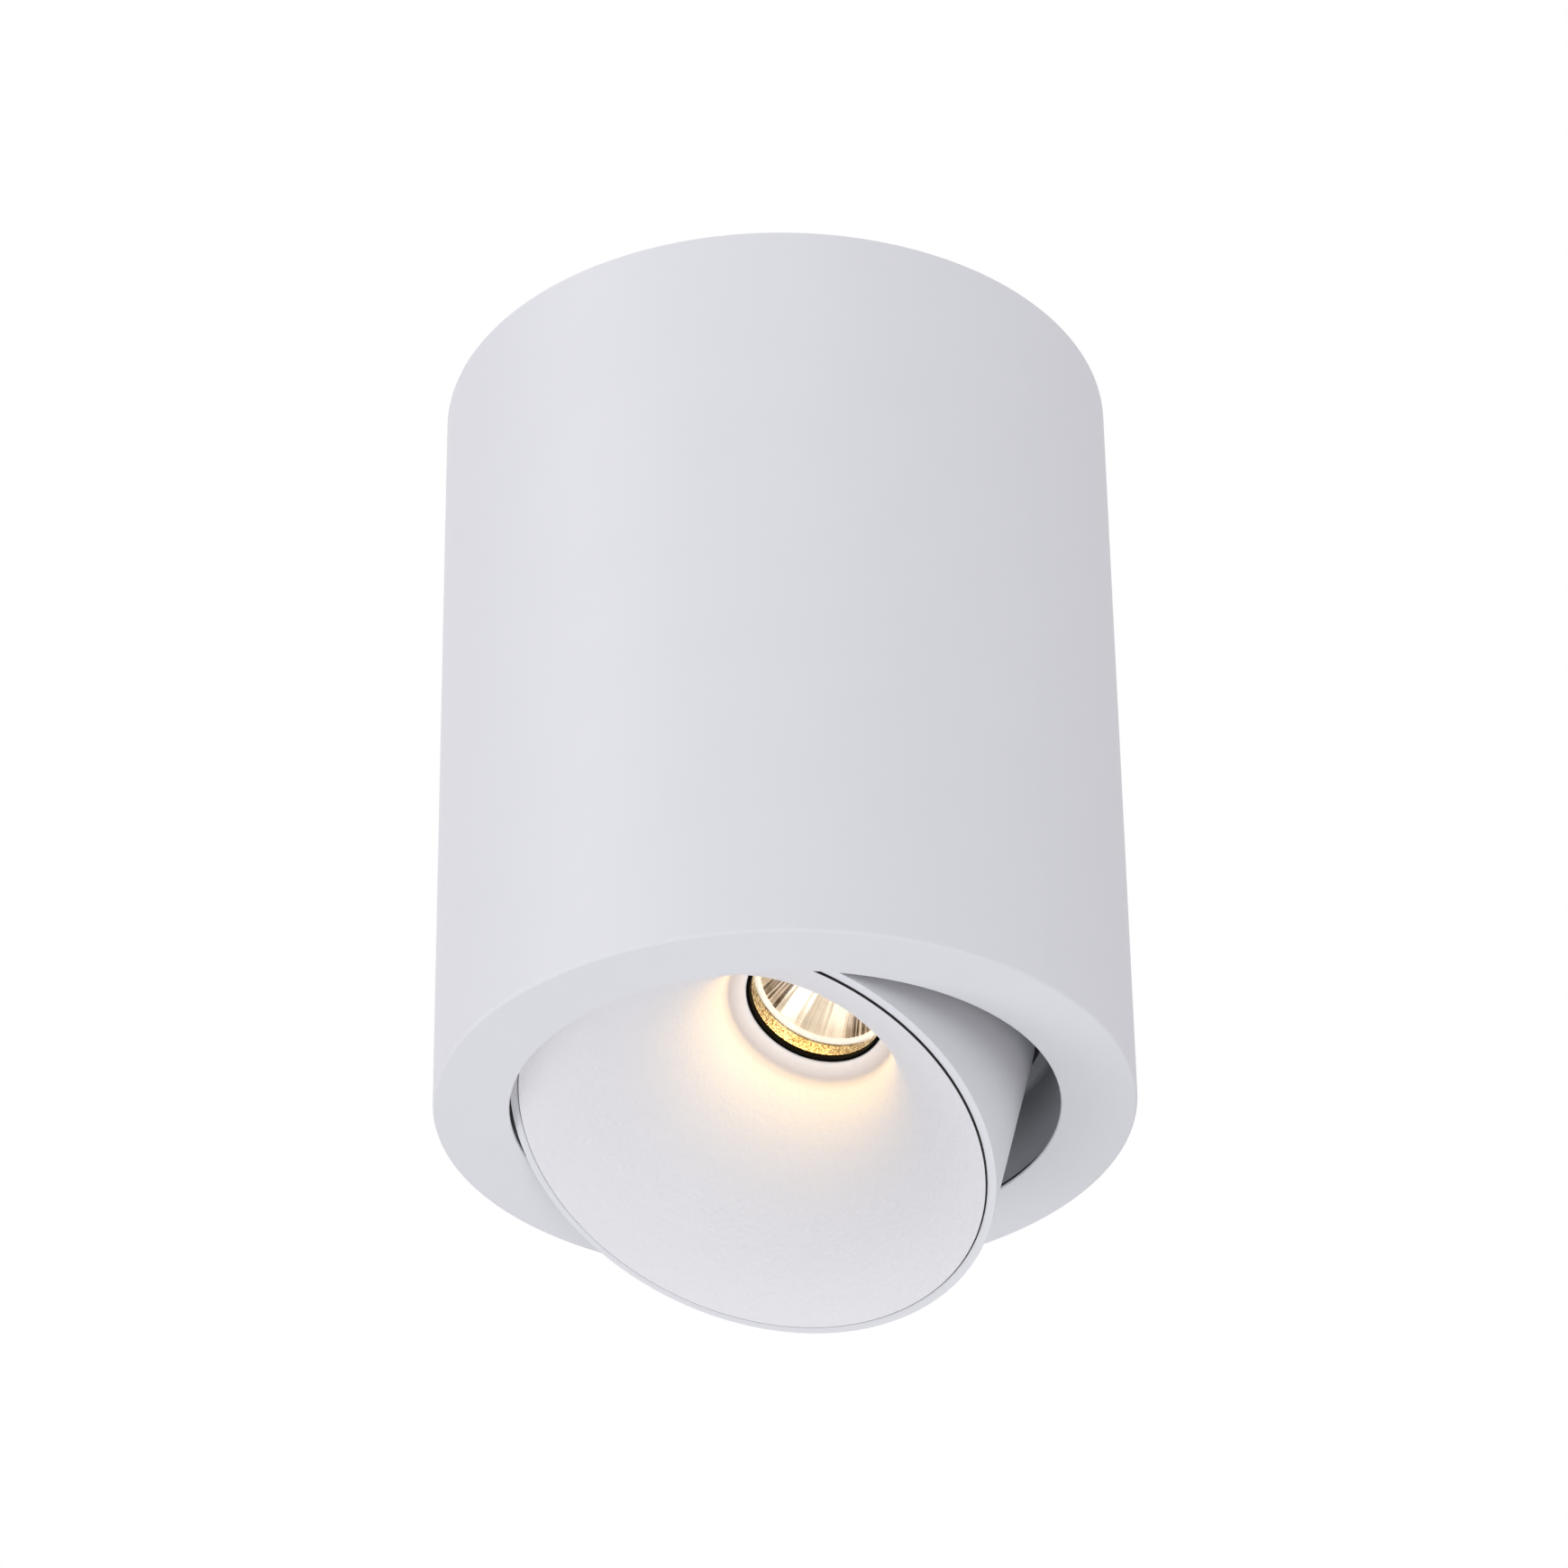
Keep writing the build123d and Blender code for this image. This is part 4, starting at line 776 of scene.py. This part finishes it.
@dataclass(frozen=True)
class GlowGel(Finish):
    """Yellow gel over the chip, which gives the light.

    Attributes:
        glow: Colour of the light.
        glow_strength: Strength of the light.
    """

    glow: Colour = (1.0, 0.78, 0.42)
    glow_strength: float = 1.5

    SPECKS_PER_METRE: ClassVar[float] = 1500.0
    SPECK_TONE: ClassVar[float] = 0.85
    SPECK_GLOW: ClassVar[float] = 0.8
    SPECK_ROUGHNESS: ClassVar[float] = 0.1

    def paint(self, sheet: NodeSheet, shader: bpy.types.Node) -> None:
        """Wires a fine speckle into the gel and its light."""
        speck = sheet.noise(sheet.place(), self.SPECKS_PER_METRE, detail=3.0)
        deep = shade(self.colour, self.SPECK_TONE)
        dim = shade(self.glow, self.SPECK_GLOW)
        rough = self.roughness + self.SPECK_ROUGHNESS
        sheet.feed(shader.inputs["Base Color"], sheet.blend(speck, deep, self.colour))
        sheet.feed(shader.inputs["Emission Color"], sheet.blend(speck, dim, self.glow))
        shader.inputs["Emission Strength"].default_value = self.glow_strength
        sheet.feed(shader.inputs["Roughness"], sheet.spread(speck, self.roughness, rough))


@dataclass(frozen=True)
class PhotoCamera:
    """Camera at the photograph's viewing angle.

    Attributes:
        azimuth: Degrees from the front (-Y) towards +X.
        reach: Level distance from the light's axis.
        drop: Height of the tube's lower face over the camera.
        aim: Point that the middle of the picture shows.
        roll: Turn about the view, in degrees.
        lens: Focal length in millimetres.
        sensor: Width of the sensor in millimetres.
    """

    azimuth: float = 43.83
    reach: float = 880.4 * MM
    drop: float = 496.8 * MM
    aim: tuple[float, float, float] = (0.43 * MM, 0.42 * MM, -74.7 * MM)
    roll: float = -0.842
    lens: float = 138.36
    sensor: float = 36.0

    def side_ways(self) -> tuple[Vector, Vector]:
        """Level directions from the light.

        Returns:
            The direction towards the camera and the direction to the picture's right.
        """
        turn = math.radians(self.azimuth)
        near = Vector((math.sin(turn), -math.cos(turn), 0.0))
        return near, Vector((-near.y, near.x, 0.0))

    def build(self) -> None:
        """Adds the camera and makes it the scene's own."""
        near, _ = self.side_ways()
        spot = near * self.reach
        spot.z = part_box("housing")[0].z - self.drop
        data = bpy.data.cameras.new("photo_camera")
        data.lens = self.lens
        data.sensor_width = self.sensor
        camera = new_object("photo_camera", data)
        look = (Vector(self.aim) - spot).to_track_quat("-Z", "Y").to_matrix().to_4x4()
        roll = Matrix.Rotation(math.radians(self.roll), 4, "Z")
        camera.matrix_world = Matrix.Translation(spot) @ look @ roll
        bpy.context.scene.camera = camera


@dataclass(frozen=True)
class SoftLamp:
    """Large soft lamp that faces the light.

    Attributes:
        name: Name of the lamp.
        right: Distance to the picture's right.
        near: Distance towards the camera.
        height: Height in the row frame.
        size: Side of the lamp.
        power: Power in watts.
    """

    name: str
    right: float
    near: float
    height: float
    size: float
    power: float

    def build(self, camera: PhotoCamera, middle: Vector) -> None:
        """Adds the lamp.

        Args:
            camera: Camera that the lamp is placed by.
            middle: Point that the lamp faces.
        """
        near, right = camera.side_ways()
        spot = near * self.near + right * self.right + Vector((0.0, 0.0, self.height))
        data = bpy.data.lights.new(self.name, "AREA")
        data.shape = "SQUARE"
        data.size = self.size
        data.energy = self.power
        lamp = new_object(self.name, data)
        lamp.location = spot
        lamp.rotation_mode = "QUATERNION"
        lamp.rotation_quaternion = (middle - spot).to_track_quat("-Z", "Y")
        lamp.visible_camera = False


@dataclass(frozen=True)
class Studio:
    """Pale floor, white surroundings and soft lamps.

    Attributes:
        camera: Camera of the picture.
        floor_level: Height of the floor, below every view of the light.
        floor_side: Side of the floor.
        floor_colour: Colour of the floor.
        fill: Strength of the light from all around.
        fill_tint: Colour of that light.
        lamps: Soft lamps.
    """

    WHITE: ClassVar[Colour] = (1.0, 1.0, 1.0)
    camera: PhotoCamera = PhotoCamera()
    floor_level: float = -1.25
    floor_side: float = 14.0
    floor_colour: Colour = (0.85, 0.85, 0.86)
    fill: float = 0.48
    fill_tint: Colour = (0.95, 0.95, 1.0)
    lamps: tuple[SoftLamp, ...] = (
        SoftLamp("left_lamp", right=-1.2, near=0.7, height=0.6, size=0.9, power=6.6),
        SoftLamp("right_lamp", right=1.2, near=0.65, height=0.5, size=0.9, power=2.0),
        SoftLamp("top_lamp", right=0.1, near=0.45, height=0.4, size=0.4, power=0.5),
        SoftLamp("front_lamp", right=0.35, near=1.0, height=-1.0, size=0.5, power=4.0),
        SoftLamp("low_lamp", right=0.25, near=0.25, height=-1.2, size=0.8, power=1.3),
        SoftLamp("low_left_lamp", right=-0.9, near=0.15, height=-1.0, size=0.8, power=4.2),
    )

    def build(self) -> None:
        """Builds the camera, the surroundings, the floor and the lamps."""
        self.camera.build()
        self.surround()
        self.floor()
        middle = (CAD_BOX[0] + CAD_BOX[1]) / 2
        for lamp in self.lamps:
            lamp.build(self.camera, middle)
            LOG.info("lamp %s", lamp.name)

    @staticmethod
    def seen(sheet: NodeSheet) -> Socket:
        """Share of rays that see the background: camera, mirror and glass rays.

        Args:
            sheet: Sheet of the world or the floor.

        Returns:
            1 on those rays and 0 on others.
        """
        path = sheet.add("ShaderNodeLightPath")
        first = sheet.math("MAXIMUM", path.outputs["Is Camera Ray"], path.outputs["Is Glossy Ray"])
        return sheet.math("MAXIMUM", first, path.outputs["Is Transmission Ray"])

    @classmethod
    def seen_mix(cls, sheet: NodeSheet, unseen: bpy.types.Node, white: bpy.types.Node) -> Socket:
        """Shows white to the rays that see the background.

        Args:
            sheet: Sheet of the world or the floor.
            unseen: Shader for all other rays.
            white: White shader.

        Returns:
            The mixed shader.
        """
        mix = sheet.add("ShaderNodeMixShader")
        for index, item in enumerate((cls.seen(sheet), unseen.outputs[0], white.outputs[0])):
            sheet.feed(mix.inputs[index], item)
        return mix.outputs[0]

    def surround(self) -> None:
        """Makes the world: white where it is seen, and a soft fill where it gives light."""
        world = bpy.data.worlds.new("studio_world")
        bpy.context.scene.world = world
        world.use_nodes = True
        world.node_tree.nodes.clear()
        sheet = NodeSheet(world.node_tree)
        fill = sheet.add("ShaderNodeBackground")
        fill.inputs["Color"].default_value = rgba(self.fill_tint)
        fill.inputs["Strength"].default_value = self.fill
        white = sheet.add("ShaderNodeBackground")
        white.inputs["Color"].default_value = rgba(self.WHITE)
        white.inputs["Strength"].default_value = 1.0
        output = sheet.add("ShaderNodeOutputWorld")
        sheet.feed(output.inputs["Surface"], self.seen_mix(sheet, fill, white))

    def floor(self) -> None:
        """Lays the pale floor."""
        half = self.floor_side / 2
        corners = [(-half, -half), (half, -half), (half, half), (-half, half)]
        mesh = bpy.data.meshes.new("floor")
        mesh.from_pydata([(x, y, self.floor_level) for x, y in corners], [], [(0, 1, 2, 3)])
        floor = new_object("floor", mesh)
        paint, sheet = new_material("floor_white")
        matt = sheet.add("ShaderNodeBsdfDiffuse")
        matt.inputs["Color"].default_value = rgba(self.floor_colour)
        white = sheet.add("ShaderNodeEmission")
        output = sheet.add("ShaderNodeOutputMaterial")
        sheet.feed(output.inputs["Surface"], self.seen_mix(sheet, matt, white))
        mesh.materials.append(paint)


@dataclass(frozen=True)
class ChipLight:
    """Warm light that leaves the lens and washes the reflector.

    Attributes:
        head: Frame of the lamp head.
        depth: Depth of the light behind the rim.
        width: Diameter of the light.
        power: Power in watts.
        tint: Colour of the light.
    """

    head: HeadPlace
    depth: float = 40.2 * MM
    width: float = 20.0 * MM
    power: float = 0.0058
    tint: Colour = (1.0, 0.68, 0.29)

    def build(self) -> None:
        """Adds the light in front of the lens."""
        data = bpy.data.lights.new("chip_light", "AREA")
        data.shape = "DISK"
        data.size = self.width
        data.energy = self.power
        data.color = self.tint
        lamp = new_object("chip_light", data)
        lamp.matrix_world = self.head.matrix @ Matrix.Translation((0.0, 0.0, self.depth))
        lamp.visible_camera = False
        lamp.visible_transmission = False
        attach(lamp, Body.HEAD.value)


def finishes(head: HeadPlace) -> list[Finish]:
    """All finishes of the light.

    Args:
        head: Frame of the lamp head.

    Returns:
        One finish for each slot.
    """
    coat = Change(0.012, 0.06, 0.012 * MM)
    peel = Change(0.01, 0.06, 0.26 * MM)
    rubber = Change(0.2, 0.08, 0.02 * MM)
    sleeve = Change(0.1, 0.05, 0.005 * MM)
    sheath = Change(0.06, 0.05, 0.02 * MM)
    return [
        GrainedSkin(Slot.WHITE_PAINT, (0.8, 0.8, 0.835), 0.5, 0.25 * MM, coat, 0.35),
        ReflectorSkin(Slot.REFLECTOR_WHITE, (0.84, 0.84, 0.865), 0.55, 0.8 * MM, peel, 0.3, head),
        GrainedSkin(Slot.RING_GREY, (0.4, 0.415, 0.435), 0.5, 0.3 * MM, Change(0.03, 0.06, 0.015 * MM), 0.4),
        GrainedSkin(Slot.BLACK_RUBBER, (0.002, 0.002, 0.002), 0.7, 0.2 * MM, rubber, 0.02),
        GoldBand(Slot.GOLD_COLLAR, (0.97, 0.86, 0.56), 0.25, head),
        ClearGlass(Slot.CLEAR_LENS, (1.0, 1.0, 1.0), 0.01),
        BrightFacets(Slot.MIRROR_CUP, (0.95, 0.88, 0.78), 0.16),
        GrainedSkin(Slot.WHITE_PLASTIC, (0.74, 0.74, 0.72), 0.45, 0.3 * MM, Change(0.02, 0.06, 0.015 * MM)),
        GrainedSkin(Slot.NYLON, (0.68, 0.66, 0.58), 0.4, 0.4 * MM, Change(0.03, 0.06, 0.01 * MM)),
        GrainedSkin(Slot.CHIP_BOARD, (0.8, 0.8, 0.78), 0.4, 0.2 * MM, Change(0.03, 0.05, 0.005 * MM)),
        GlowGel(Slot.PHOSPHOR, (0.95, 0.72, 0.2), 0.3),
        GrainedSkin(Slot.PAD_GREY, (0.24, 0.25, 0.27), 0.8, 0.2 * MM, Change(0.06, 0.06, 0.02 * MM)),
        RolledMetal(Slot.SINK_ALUMINIUM, (0.6, 0.61, 0.63), 0.42, (3000.0, 3000.0, 3000.0)),
        RolledMetal(Slot.ZINC_STEEL, (0.56, 0.57, 0.59), 0.36, (150.0, 3500.0, 3500.0)),
        RolledMetal(Slot.SCREW_STEEL, (0.5, 0.51, 0.53), 0.3, (2500.0, 2500.0, 300.0)),
        RolledMetal(Slot.BRASS, (0.72, 0.52, 0.22), 0.28, (3000.0, 300.0, 3000.0)),
        GrainedSkin(Slot.CIRCUIT_GREEN, (0.02, 0.16, 0.06), 0.3, 1.2 * MM, Change(0.3, 0.05, 0.03 * MM)),
        GrainedSkin(Slot.COIL_YELLOW, (0.62, 0.44, 0.05), 0.45, 0.6 * MM, Change(0.08, 0.05, 0.03 * MM)),
        GrainedSkin(Slot.CAPACITOR_BLACK, (0.012, 0.012, 0.016), 0.3, 0.4 * MM, sleeve),
        GrainedSkin(Slot.LEAD_BROWN, (0.13, 0.045, 0.018), 0.42, 0.3 * MM, sheath),
        GrainedSkin(Slot.LEAD_BLUE, (0.02, 0.08, 0.4), 0.42, 0.3 * MM, sheath),
        GrainedSkin(Slot.LEAD_GREEN, (0.05, 0.28, 0.04), 0.42, 0.3 * MM, sheath),
        GrainedSkin(Slot.LEAD_GREY, (0.42, 0.42, 0.43), 0.45, 0.3 * MM, sheath),
    ]


class Palette:
    """Materials of the light, by slot."""

    def __init__(self, head: HeadPlace) -> None:
        """Makes every material.

        Args:
            head: Frame of the lamp head.
        """
        self.materials = {finish.slot: finish.material() for finish in finishes(head)}
        self.lit_plastic = LitPlastic(Slot.WHITE_PLASTIC, (0.8, 0.78, 0.72), 0.4).material()
        self.slots = {part["node"]: Slot(part["material_slot"]) for part in frame["record"]["subparts"]}

    def of_node(self, name: str) -> bpy.types.Material:
        """Material of one node of the frame."""
        return self.materials[self.slots[name]]


class Mesher:
    """Builds closed turned meshes about a Z axis."""

    SHARP: ClassVar[float] = math.radians(35.0)
    STEPS: ClassVar[int] = 96

    @staticmethod
    def circle(radius: float, height: float, steps: int) -> list[tuple[float, float, float]]:
        """Points evenly around the axis.

        Args:
            radius: Distance from the axis.
            height: Height of all points.
            steps: Number of points.

        Returns:
            The points.
        """
        turns = [math.tau * step / steps for step in range(steps)]
        return [(radius * math.cos(turn), radius * math.sin(turn), height) for turn in turns]

    @classmethod
    def rings(cls, name: str, rings: Sequence[Sequence[tuple[float, float, float]]]) -> bpy.types.Object:
        """Joins rings of equal length into one closed skin, the last ring to the first.

        Args:
            name: Name of the piece.
            rings: Rings of points, all with the same number of points.

        Returns:
            The new object, with smooth faces and sharp edges.
        """
        count = len(rings[0])
        points = [point for ring in rings for point in ring]
        faces = []
        for level in range(len(rings)):
            first = level * count
            second = (level + 1) % len(rings) * count
            for step in range(count):
                after = (step + 1) % count
                faces.append((first + step, first + after, second + after, second + step))
        return cls.made(name, points, faces)

    @classmethod
    def turned(cls, name: str, outline: Outline) -> bpy.types.Object:
        """Turns an open outline that starts and ends on the axis.

        Args:
            name: Name of the piece.
            outline: Radius and height of each point, on the axis at both ends.

        Returns:
            The new object.
        """
        steps = cls.STEPS
        middle = outline[1:-1]
        points = [(0.0, 0.0, outline[0][1])]
        for radius, height in middle:
            points += cls.circle(radius, height, steps)
        points.append((0.0, 0.0, outline[-1][1]))
        last = len(points) - 1
        faces = []
        for step in range(steps):
            after = (step + 1) % steps
            faces.append((0, 1 + after, 1 + step))
            for level in range(len(middle) - 1):
                low = 1 + level * steps
                faces.append((low + step, low + after, low + steps + after, low + steps + step))
            top = 1 + (len(middle) - 1) * steps
            faces.append((top + step, top + after, last))
        return cls.made(name, points, faces)

    @classmethod
    def made(cls, name: str, points: list, faces: list) -> bpy.types.Object:
        """Makes one object with outward faces, smooth shading and sharp edges."""
        mesh = bpy.data.meshes.new(name)
        mesh.from_pydata(points, [], faces)
        work = bmesh.new()
        work.from_mesh(mesh)
        bmesh.ops.recalc_face_normals(work, faces=work.faces)
        work.to_mesh(mesh)
        work.free()
        mesh.shade_smooth()
        mesh.set_sharp_from_angle(angle=cls.SHARP)
        return new_object(name, mesh)


@dataclass(frozen=True)
class SubAssembly:
    """Group of nodes that belong together on one body.

    Attributes:
        body: Body that the nodes ride on.
        nodes: Names of the nodes.
    """

    body: Body
    nodes: tuple[str, ...]

    def dress(self, palette: Palette) -> None:
        """Gives each node the finish of its slot.

        Args:
            palette: Materials by slot.
        """
        for name in self.nodes:
            mesh = frame["nodes"][name].data
            mesh.materials.clear()
            mesh.materials.append(palette.of_node(name))
            LOG.info("%s: dressed %s as %s", type(self).__name__, name, palette.slots[name].value)


@dataclass(frozen=True)
class HousingShell(SubAssembly):
    """White tube with the screws in its side."""

    body: Body = Body.HOUSING
    nodes: tuple[str, ...] = ("housing", "housing_set_screws")


@dataclass(frozen=True)
class CeilingMount(SubAssembly):
    """Plate that is screwed to the ceiling, with its grommet and posts."""

    body: Body = Body.HOUSING
    nodes: tuple[str, ...] = (
        "ceiling_plate",
        "cable_grommet",
        "tray_posts",
        "post_top_screws",
        "post_bottom_screws",
    )


@dataclass(frozen=True)
class GearTray(SubAssembly):
    """Tray with the driver, the terminal block and their leads."""

    body: Body = Body.HOUSING
    nodes: tuple[str, ...] = (
        "gear_tray",
        "tray_grommet",
        "driver_case",
        "driver_lid",
        "driver_board",
        "driver_transformer",
        "driver_capacitors",
        "driver_screws",
        "terminal_block",
        "terminal_sleeves",
        "terminal_clamp_screws",
        "terminal_fixing_screws",
        "earth_tag",
        "earth_screw",
        "live_lead",
        "neutral_lead",
        "earth_lead",
        "lamp_lead_upper",
    )


@dataclass(frozen=True)
class SwivelSeat(SubAssembly):
    """Pieces of the tube that the swivel ring turns on."""

    body: Body = Body.HOUSING
    nodes: tuple[str, ...] = ("slide_ring", "ring_keepers", "keeper_screws", "swivel_stop_pin")


@dataclass(frozen=True)
class SwivelCarrier(SubAssembly):
    """Turning ring that carries the head."""

    body: Body = Body.SWIVEL
    nodes: tuple[str, ...] = ("swivel_ring", "friction_washers", "spring_washers", "lamp_lead_middle")


@dataclass(frozen=True)
class LampHead(SubAssembly):
    """Can with its reflector, heat sink and pivots."""

    body: Body = Body.HEAD
    nodes: tuple[str, ...] = (
        "head_can",
        "reflector",
        "aperture_gasket",
        "heat_sink",
        "heat_sink_screws",
        "pivot_screw",
        "pivot_bush",
        "lamp_lead_lower",
    )


@dataclass(frozen=True)
class CupSizes:
    """Sizes of the fluted cup, with depths behind the lamp's rim.

    Attributes:
        front: Depth of the front of its rim.
        back: Depth of its back.
        rim_radius: Outer radius of the rim.
        rim_depth: Depth of the rim.
        mouth_radius: Inner radius at the mouth.
        throat_radius: Inner radius at the back.
        wall: Thickness at the back.
        flutes: Number of flutes.
        steps: Points across one flute.
        levels: Points along one flute.
        rib: Height of the rib between two flutes.
        rib_share: Share of a flute that its rib takes.
    """

    front: float = 42.3 * MM
    back: float = 51.18 * MM
    rim_radius: float = 12.95 * MM
    rim_depth: float = 1.0 * MM
    mouth_radius: float = 11.6 * MM
    throat_radius: float = 6.9 * MM
    wall: float = 2.0 * MM
    flutes: int = 16
    steps: int = 12
    levels: int = 14
    rib: float = 0.16 * MM
    rib_share: float = 0.16


@dataclass(frozen=True)
class LightEngine(SubAssembly):
    """Gold collar, lens, fluted cup and light chip behind the aperture.

    Attributes:
        head: Frame of the lamp head.
        cup: Sizes of the cup.
        lens_front: Depth of the lens's front face.
        lens_back: Depth of its back face.
        lens_radius: Radius of the lens.
        lens_edge: Bevel of the lens.
        bead: Radius of the pale bead round the cup's mouth.
        chip_front: Depth of the top of the gel.
        chip_back: Depth of the back of the gel.
        chip_radius: Radius of the gel.
        chip_fall: Share of the gel's height that its dome falls by.
        dam: Width of the wall round the gel.
        dam_gap: Gap between the gel and that wall.
    """

    LENS_RING: ClassVar[float] = 0.6
    DOME_STEPS: ClassVar[int] = 8
    BEAD_STEPS: ClassVar[int] = 12

    body: Body = Body.HEAD
    nodes: tuple[str, ...] = (
        "lens_collar",
        "lens",
        "optic_cup",
        "cob_holder",
        "cob_holder_screws",
        "led_board",
        "led_phosphor",
        "thermal_pad",
    )
    head: HeadPlace | None = None
    cup: CupSizes = CupSizes()
    lens_front: float = 40.5 * MM
    lens_back: float = 41.68 * MM
    lens_radius: float = 12.98 * MM
    lens_edge: float = 0.2 * MM
    bead: float = 0.58 * MM
    chip_front: float = 52.2 * MM
    chip_back: float = 52.7 * MM
    chip_radius: float = 5.5 * MM
    chip_fall: float = 0.5
    dam: float = 0.7 * MM
    dam_gap: float = 0.05 * MM

    def build(self, palette: Palette) -> None:
        """Builds the pieces that stand in for plain solids.

        Args:
            palette: Materials by slot.
        """
        self.place(self.fluted_cup(), palette.materials[Slot.MIRROR_CUP], node="optic_cup")
        self.place(self.front_lens(), palette.materials[Slot.CLEAR_LENS], node="lens")
        self.place(self.gel_dome(), palette.materials[Slot.PHOSPHOR], node="led_phosphor")
        dam_centre = self.chip_radius + self.dam / 2 + self.dam_gap
        bead_centre = self.cup.mouth_radius + self.bead
        wall = self.half_bead("chip_dam", dam_centre, self.dam / 2, self.chip_back)
        bead = self.half_bead("mouth_bead", bead_centre, self.bead, self.cup.front)
        self.place(wall, palette.lit_plastic)
        self.place(bead, palette.lit_plastic)

    def place(self, item: bpy.types.Object, paint: bpy.types.Material, node: str | None = None) -> None:
        """Puts a piece into the head and gives it its finish.

        Args:
            item: The piece, built in the head's own frame.
            paint: Material of the piece.
            node: Node that the piece stands in for, or nothing for an extra piece of white plastic.
        """
        item.matrix_world = self.head.matrix
        item.data.materials.append(paint)
        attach(item, self.body.value)
        if node is None:
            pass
        else:
            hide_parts(node)
        LOG.info("%s: built %s", type(self).__name__, item.name)

    def fluted_cup(self) -> bpy.types.Object:
        """Cup with flat flutes, ribs between them and a flat rim."""
        size = self.cup
        rings = []
        for level in range(size.levels + 1):
            share = level / size.levels
            square = size.mouth_radius**2 + (size.throat_radius**2 - size.mouth_radius**2) * share
            rings.append(self.fluted_ring(math.sqrt(square), self.cup_depth(share)))
        outside = [
            (size.throat_radius + size.wall, size.back),
            (size.rim_radius, size.front + size.rim_depth),
            (size.rim_radius, size.front),
        ]
        for radius, depth in outside:
            rings.append(Mesher.circle(radius, depth, size.flutes * size.steps))
        return Mesher.rings("fluted_cup", rings)

    def cup_depth(self, share: float) -> float:
        """Depth at a share of the way from the cup's mouth to its throat."""
        return self.cup.front + (self.cup.back - self.cup.front) * share

    def fluted_ring(self, radius: float, depth: float) -> list[tuple[float, float, float]]:
        """One ring of the cup's inside: flat flutes with a small rib where two of them meet.

        Args:
            radius: Radius at the corners between flutes.
            depth: Depth of the ring.

        Returns:
            Points of the ring.
        """
        size = self.cup
        ring = []
        for step in range(size.flutes * size.steps):
            share = step % size.steps / size.steps
            turn = math.tau * step / (size.flutes * size.steps)
            off = (share - 0.5) * math.tau / size.flutes
            flat = radius * math.cos(math.pi / size.flutes) / math.cos(off)
            near = min(share, 1.0 - share) / size.rib_share
            reach = flat - size.rib * max(0.0, 1.0 - near)
            ring.append((reach * math.cos(turn), reach * math.sin(turn), depth))
        return ring

    def front_lens(self) -> bpy.types.Object:
        """Clear disc with bevelled edges."""
        front = self.lens_front
        back = self.lens_back
        inner = self.lens_radius - self.lens_edge
        outline = [
            (0.0, front),
            (inner * self.LENS_RING, front),
            (inner, front),
            (self.lens_radius, front + self.lens_edge),
            (self.lens_radius, back - self.lens_edge),
            (inner, back),
            (inner * self.LENS_RING, back),
            (0.0, back),
        ]
        return Mesher.turned("front_lens", outline)

    def gel_dome(self) -> bpy.types.Object:
        """Low dome of gel over the chip."""
        fall = self.chip_fall * (self.chip_back - self.chip_front)
        outline = [(0.0, self.chip_front)]
        for step in range(1, self.DOME_STEPS + 1):
            share = step / self.DOME_STEPS
            outline.append((self.chip_radius * share, self.chip_front + fall * share**2))
        outline += [(self.chip_radius, self.chip_back), (0.0, self.chip_back)]
        return Mesher.turned("gel_dome", outline)

    @classmethod
    def half_bead(cls, name: str, centre: float, half: float, foot: float) -> bpy.types.Object:
        """Half-round ring that stands on a flat face and looks out along the beam.

        Args:
            name: Name of the piece.
            centre: Radius of its middle.
            half: Half of its width, which is also its height.
            foot: Depth of the face that it stands on.

        Returns:
            The new object.
        """
        rings = []
        for level in range(cls.BEAD_STEPS + 1):
            turn = math.pi * level / cls.BEAD_STEPS
            radius = centre - half * math.cos(turn)
            depth = foot - half * math.sin(turn)
            rings.append(Mesher.circle(radius, depth, Mesher.STEPS))
        return Mesher.rings(name, rings)


def main() -> None:
    """Builds the studio and dresses the light."""
    logging.basicConfig(level=logging.INFO, format="%(name)s: %(message)s")
    bpy.context.scene.view_settings.view_transform = "Standard"
    head = HeadPlace.from_frame()
    Studio().build()
    palette = Palette(head)
    engine = LightEngine(head=head)
    engine.build(palette)
    plain = (HousingShell, CeilingMount, GearTray, SwivelSeat, SwivelCarrier, LampHead)
    for part in (*(kind() for kind in plain), engine):
        part.dress(palette)
    ChipLight(head).build()


if __name__ == "__main__":
    main()
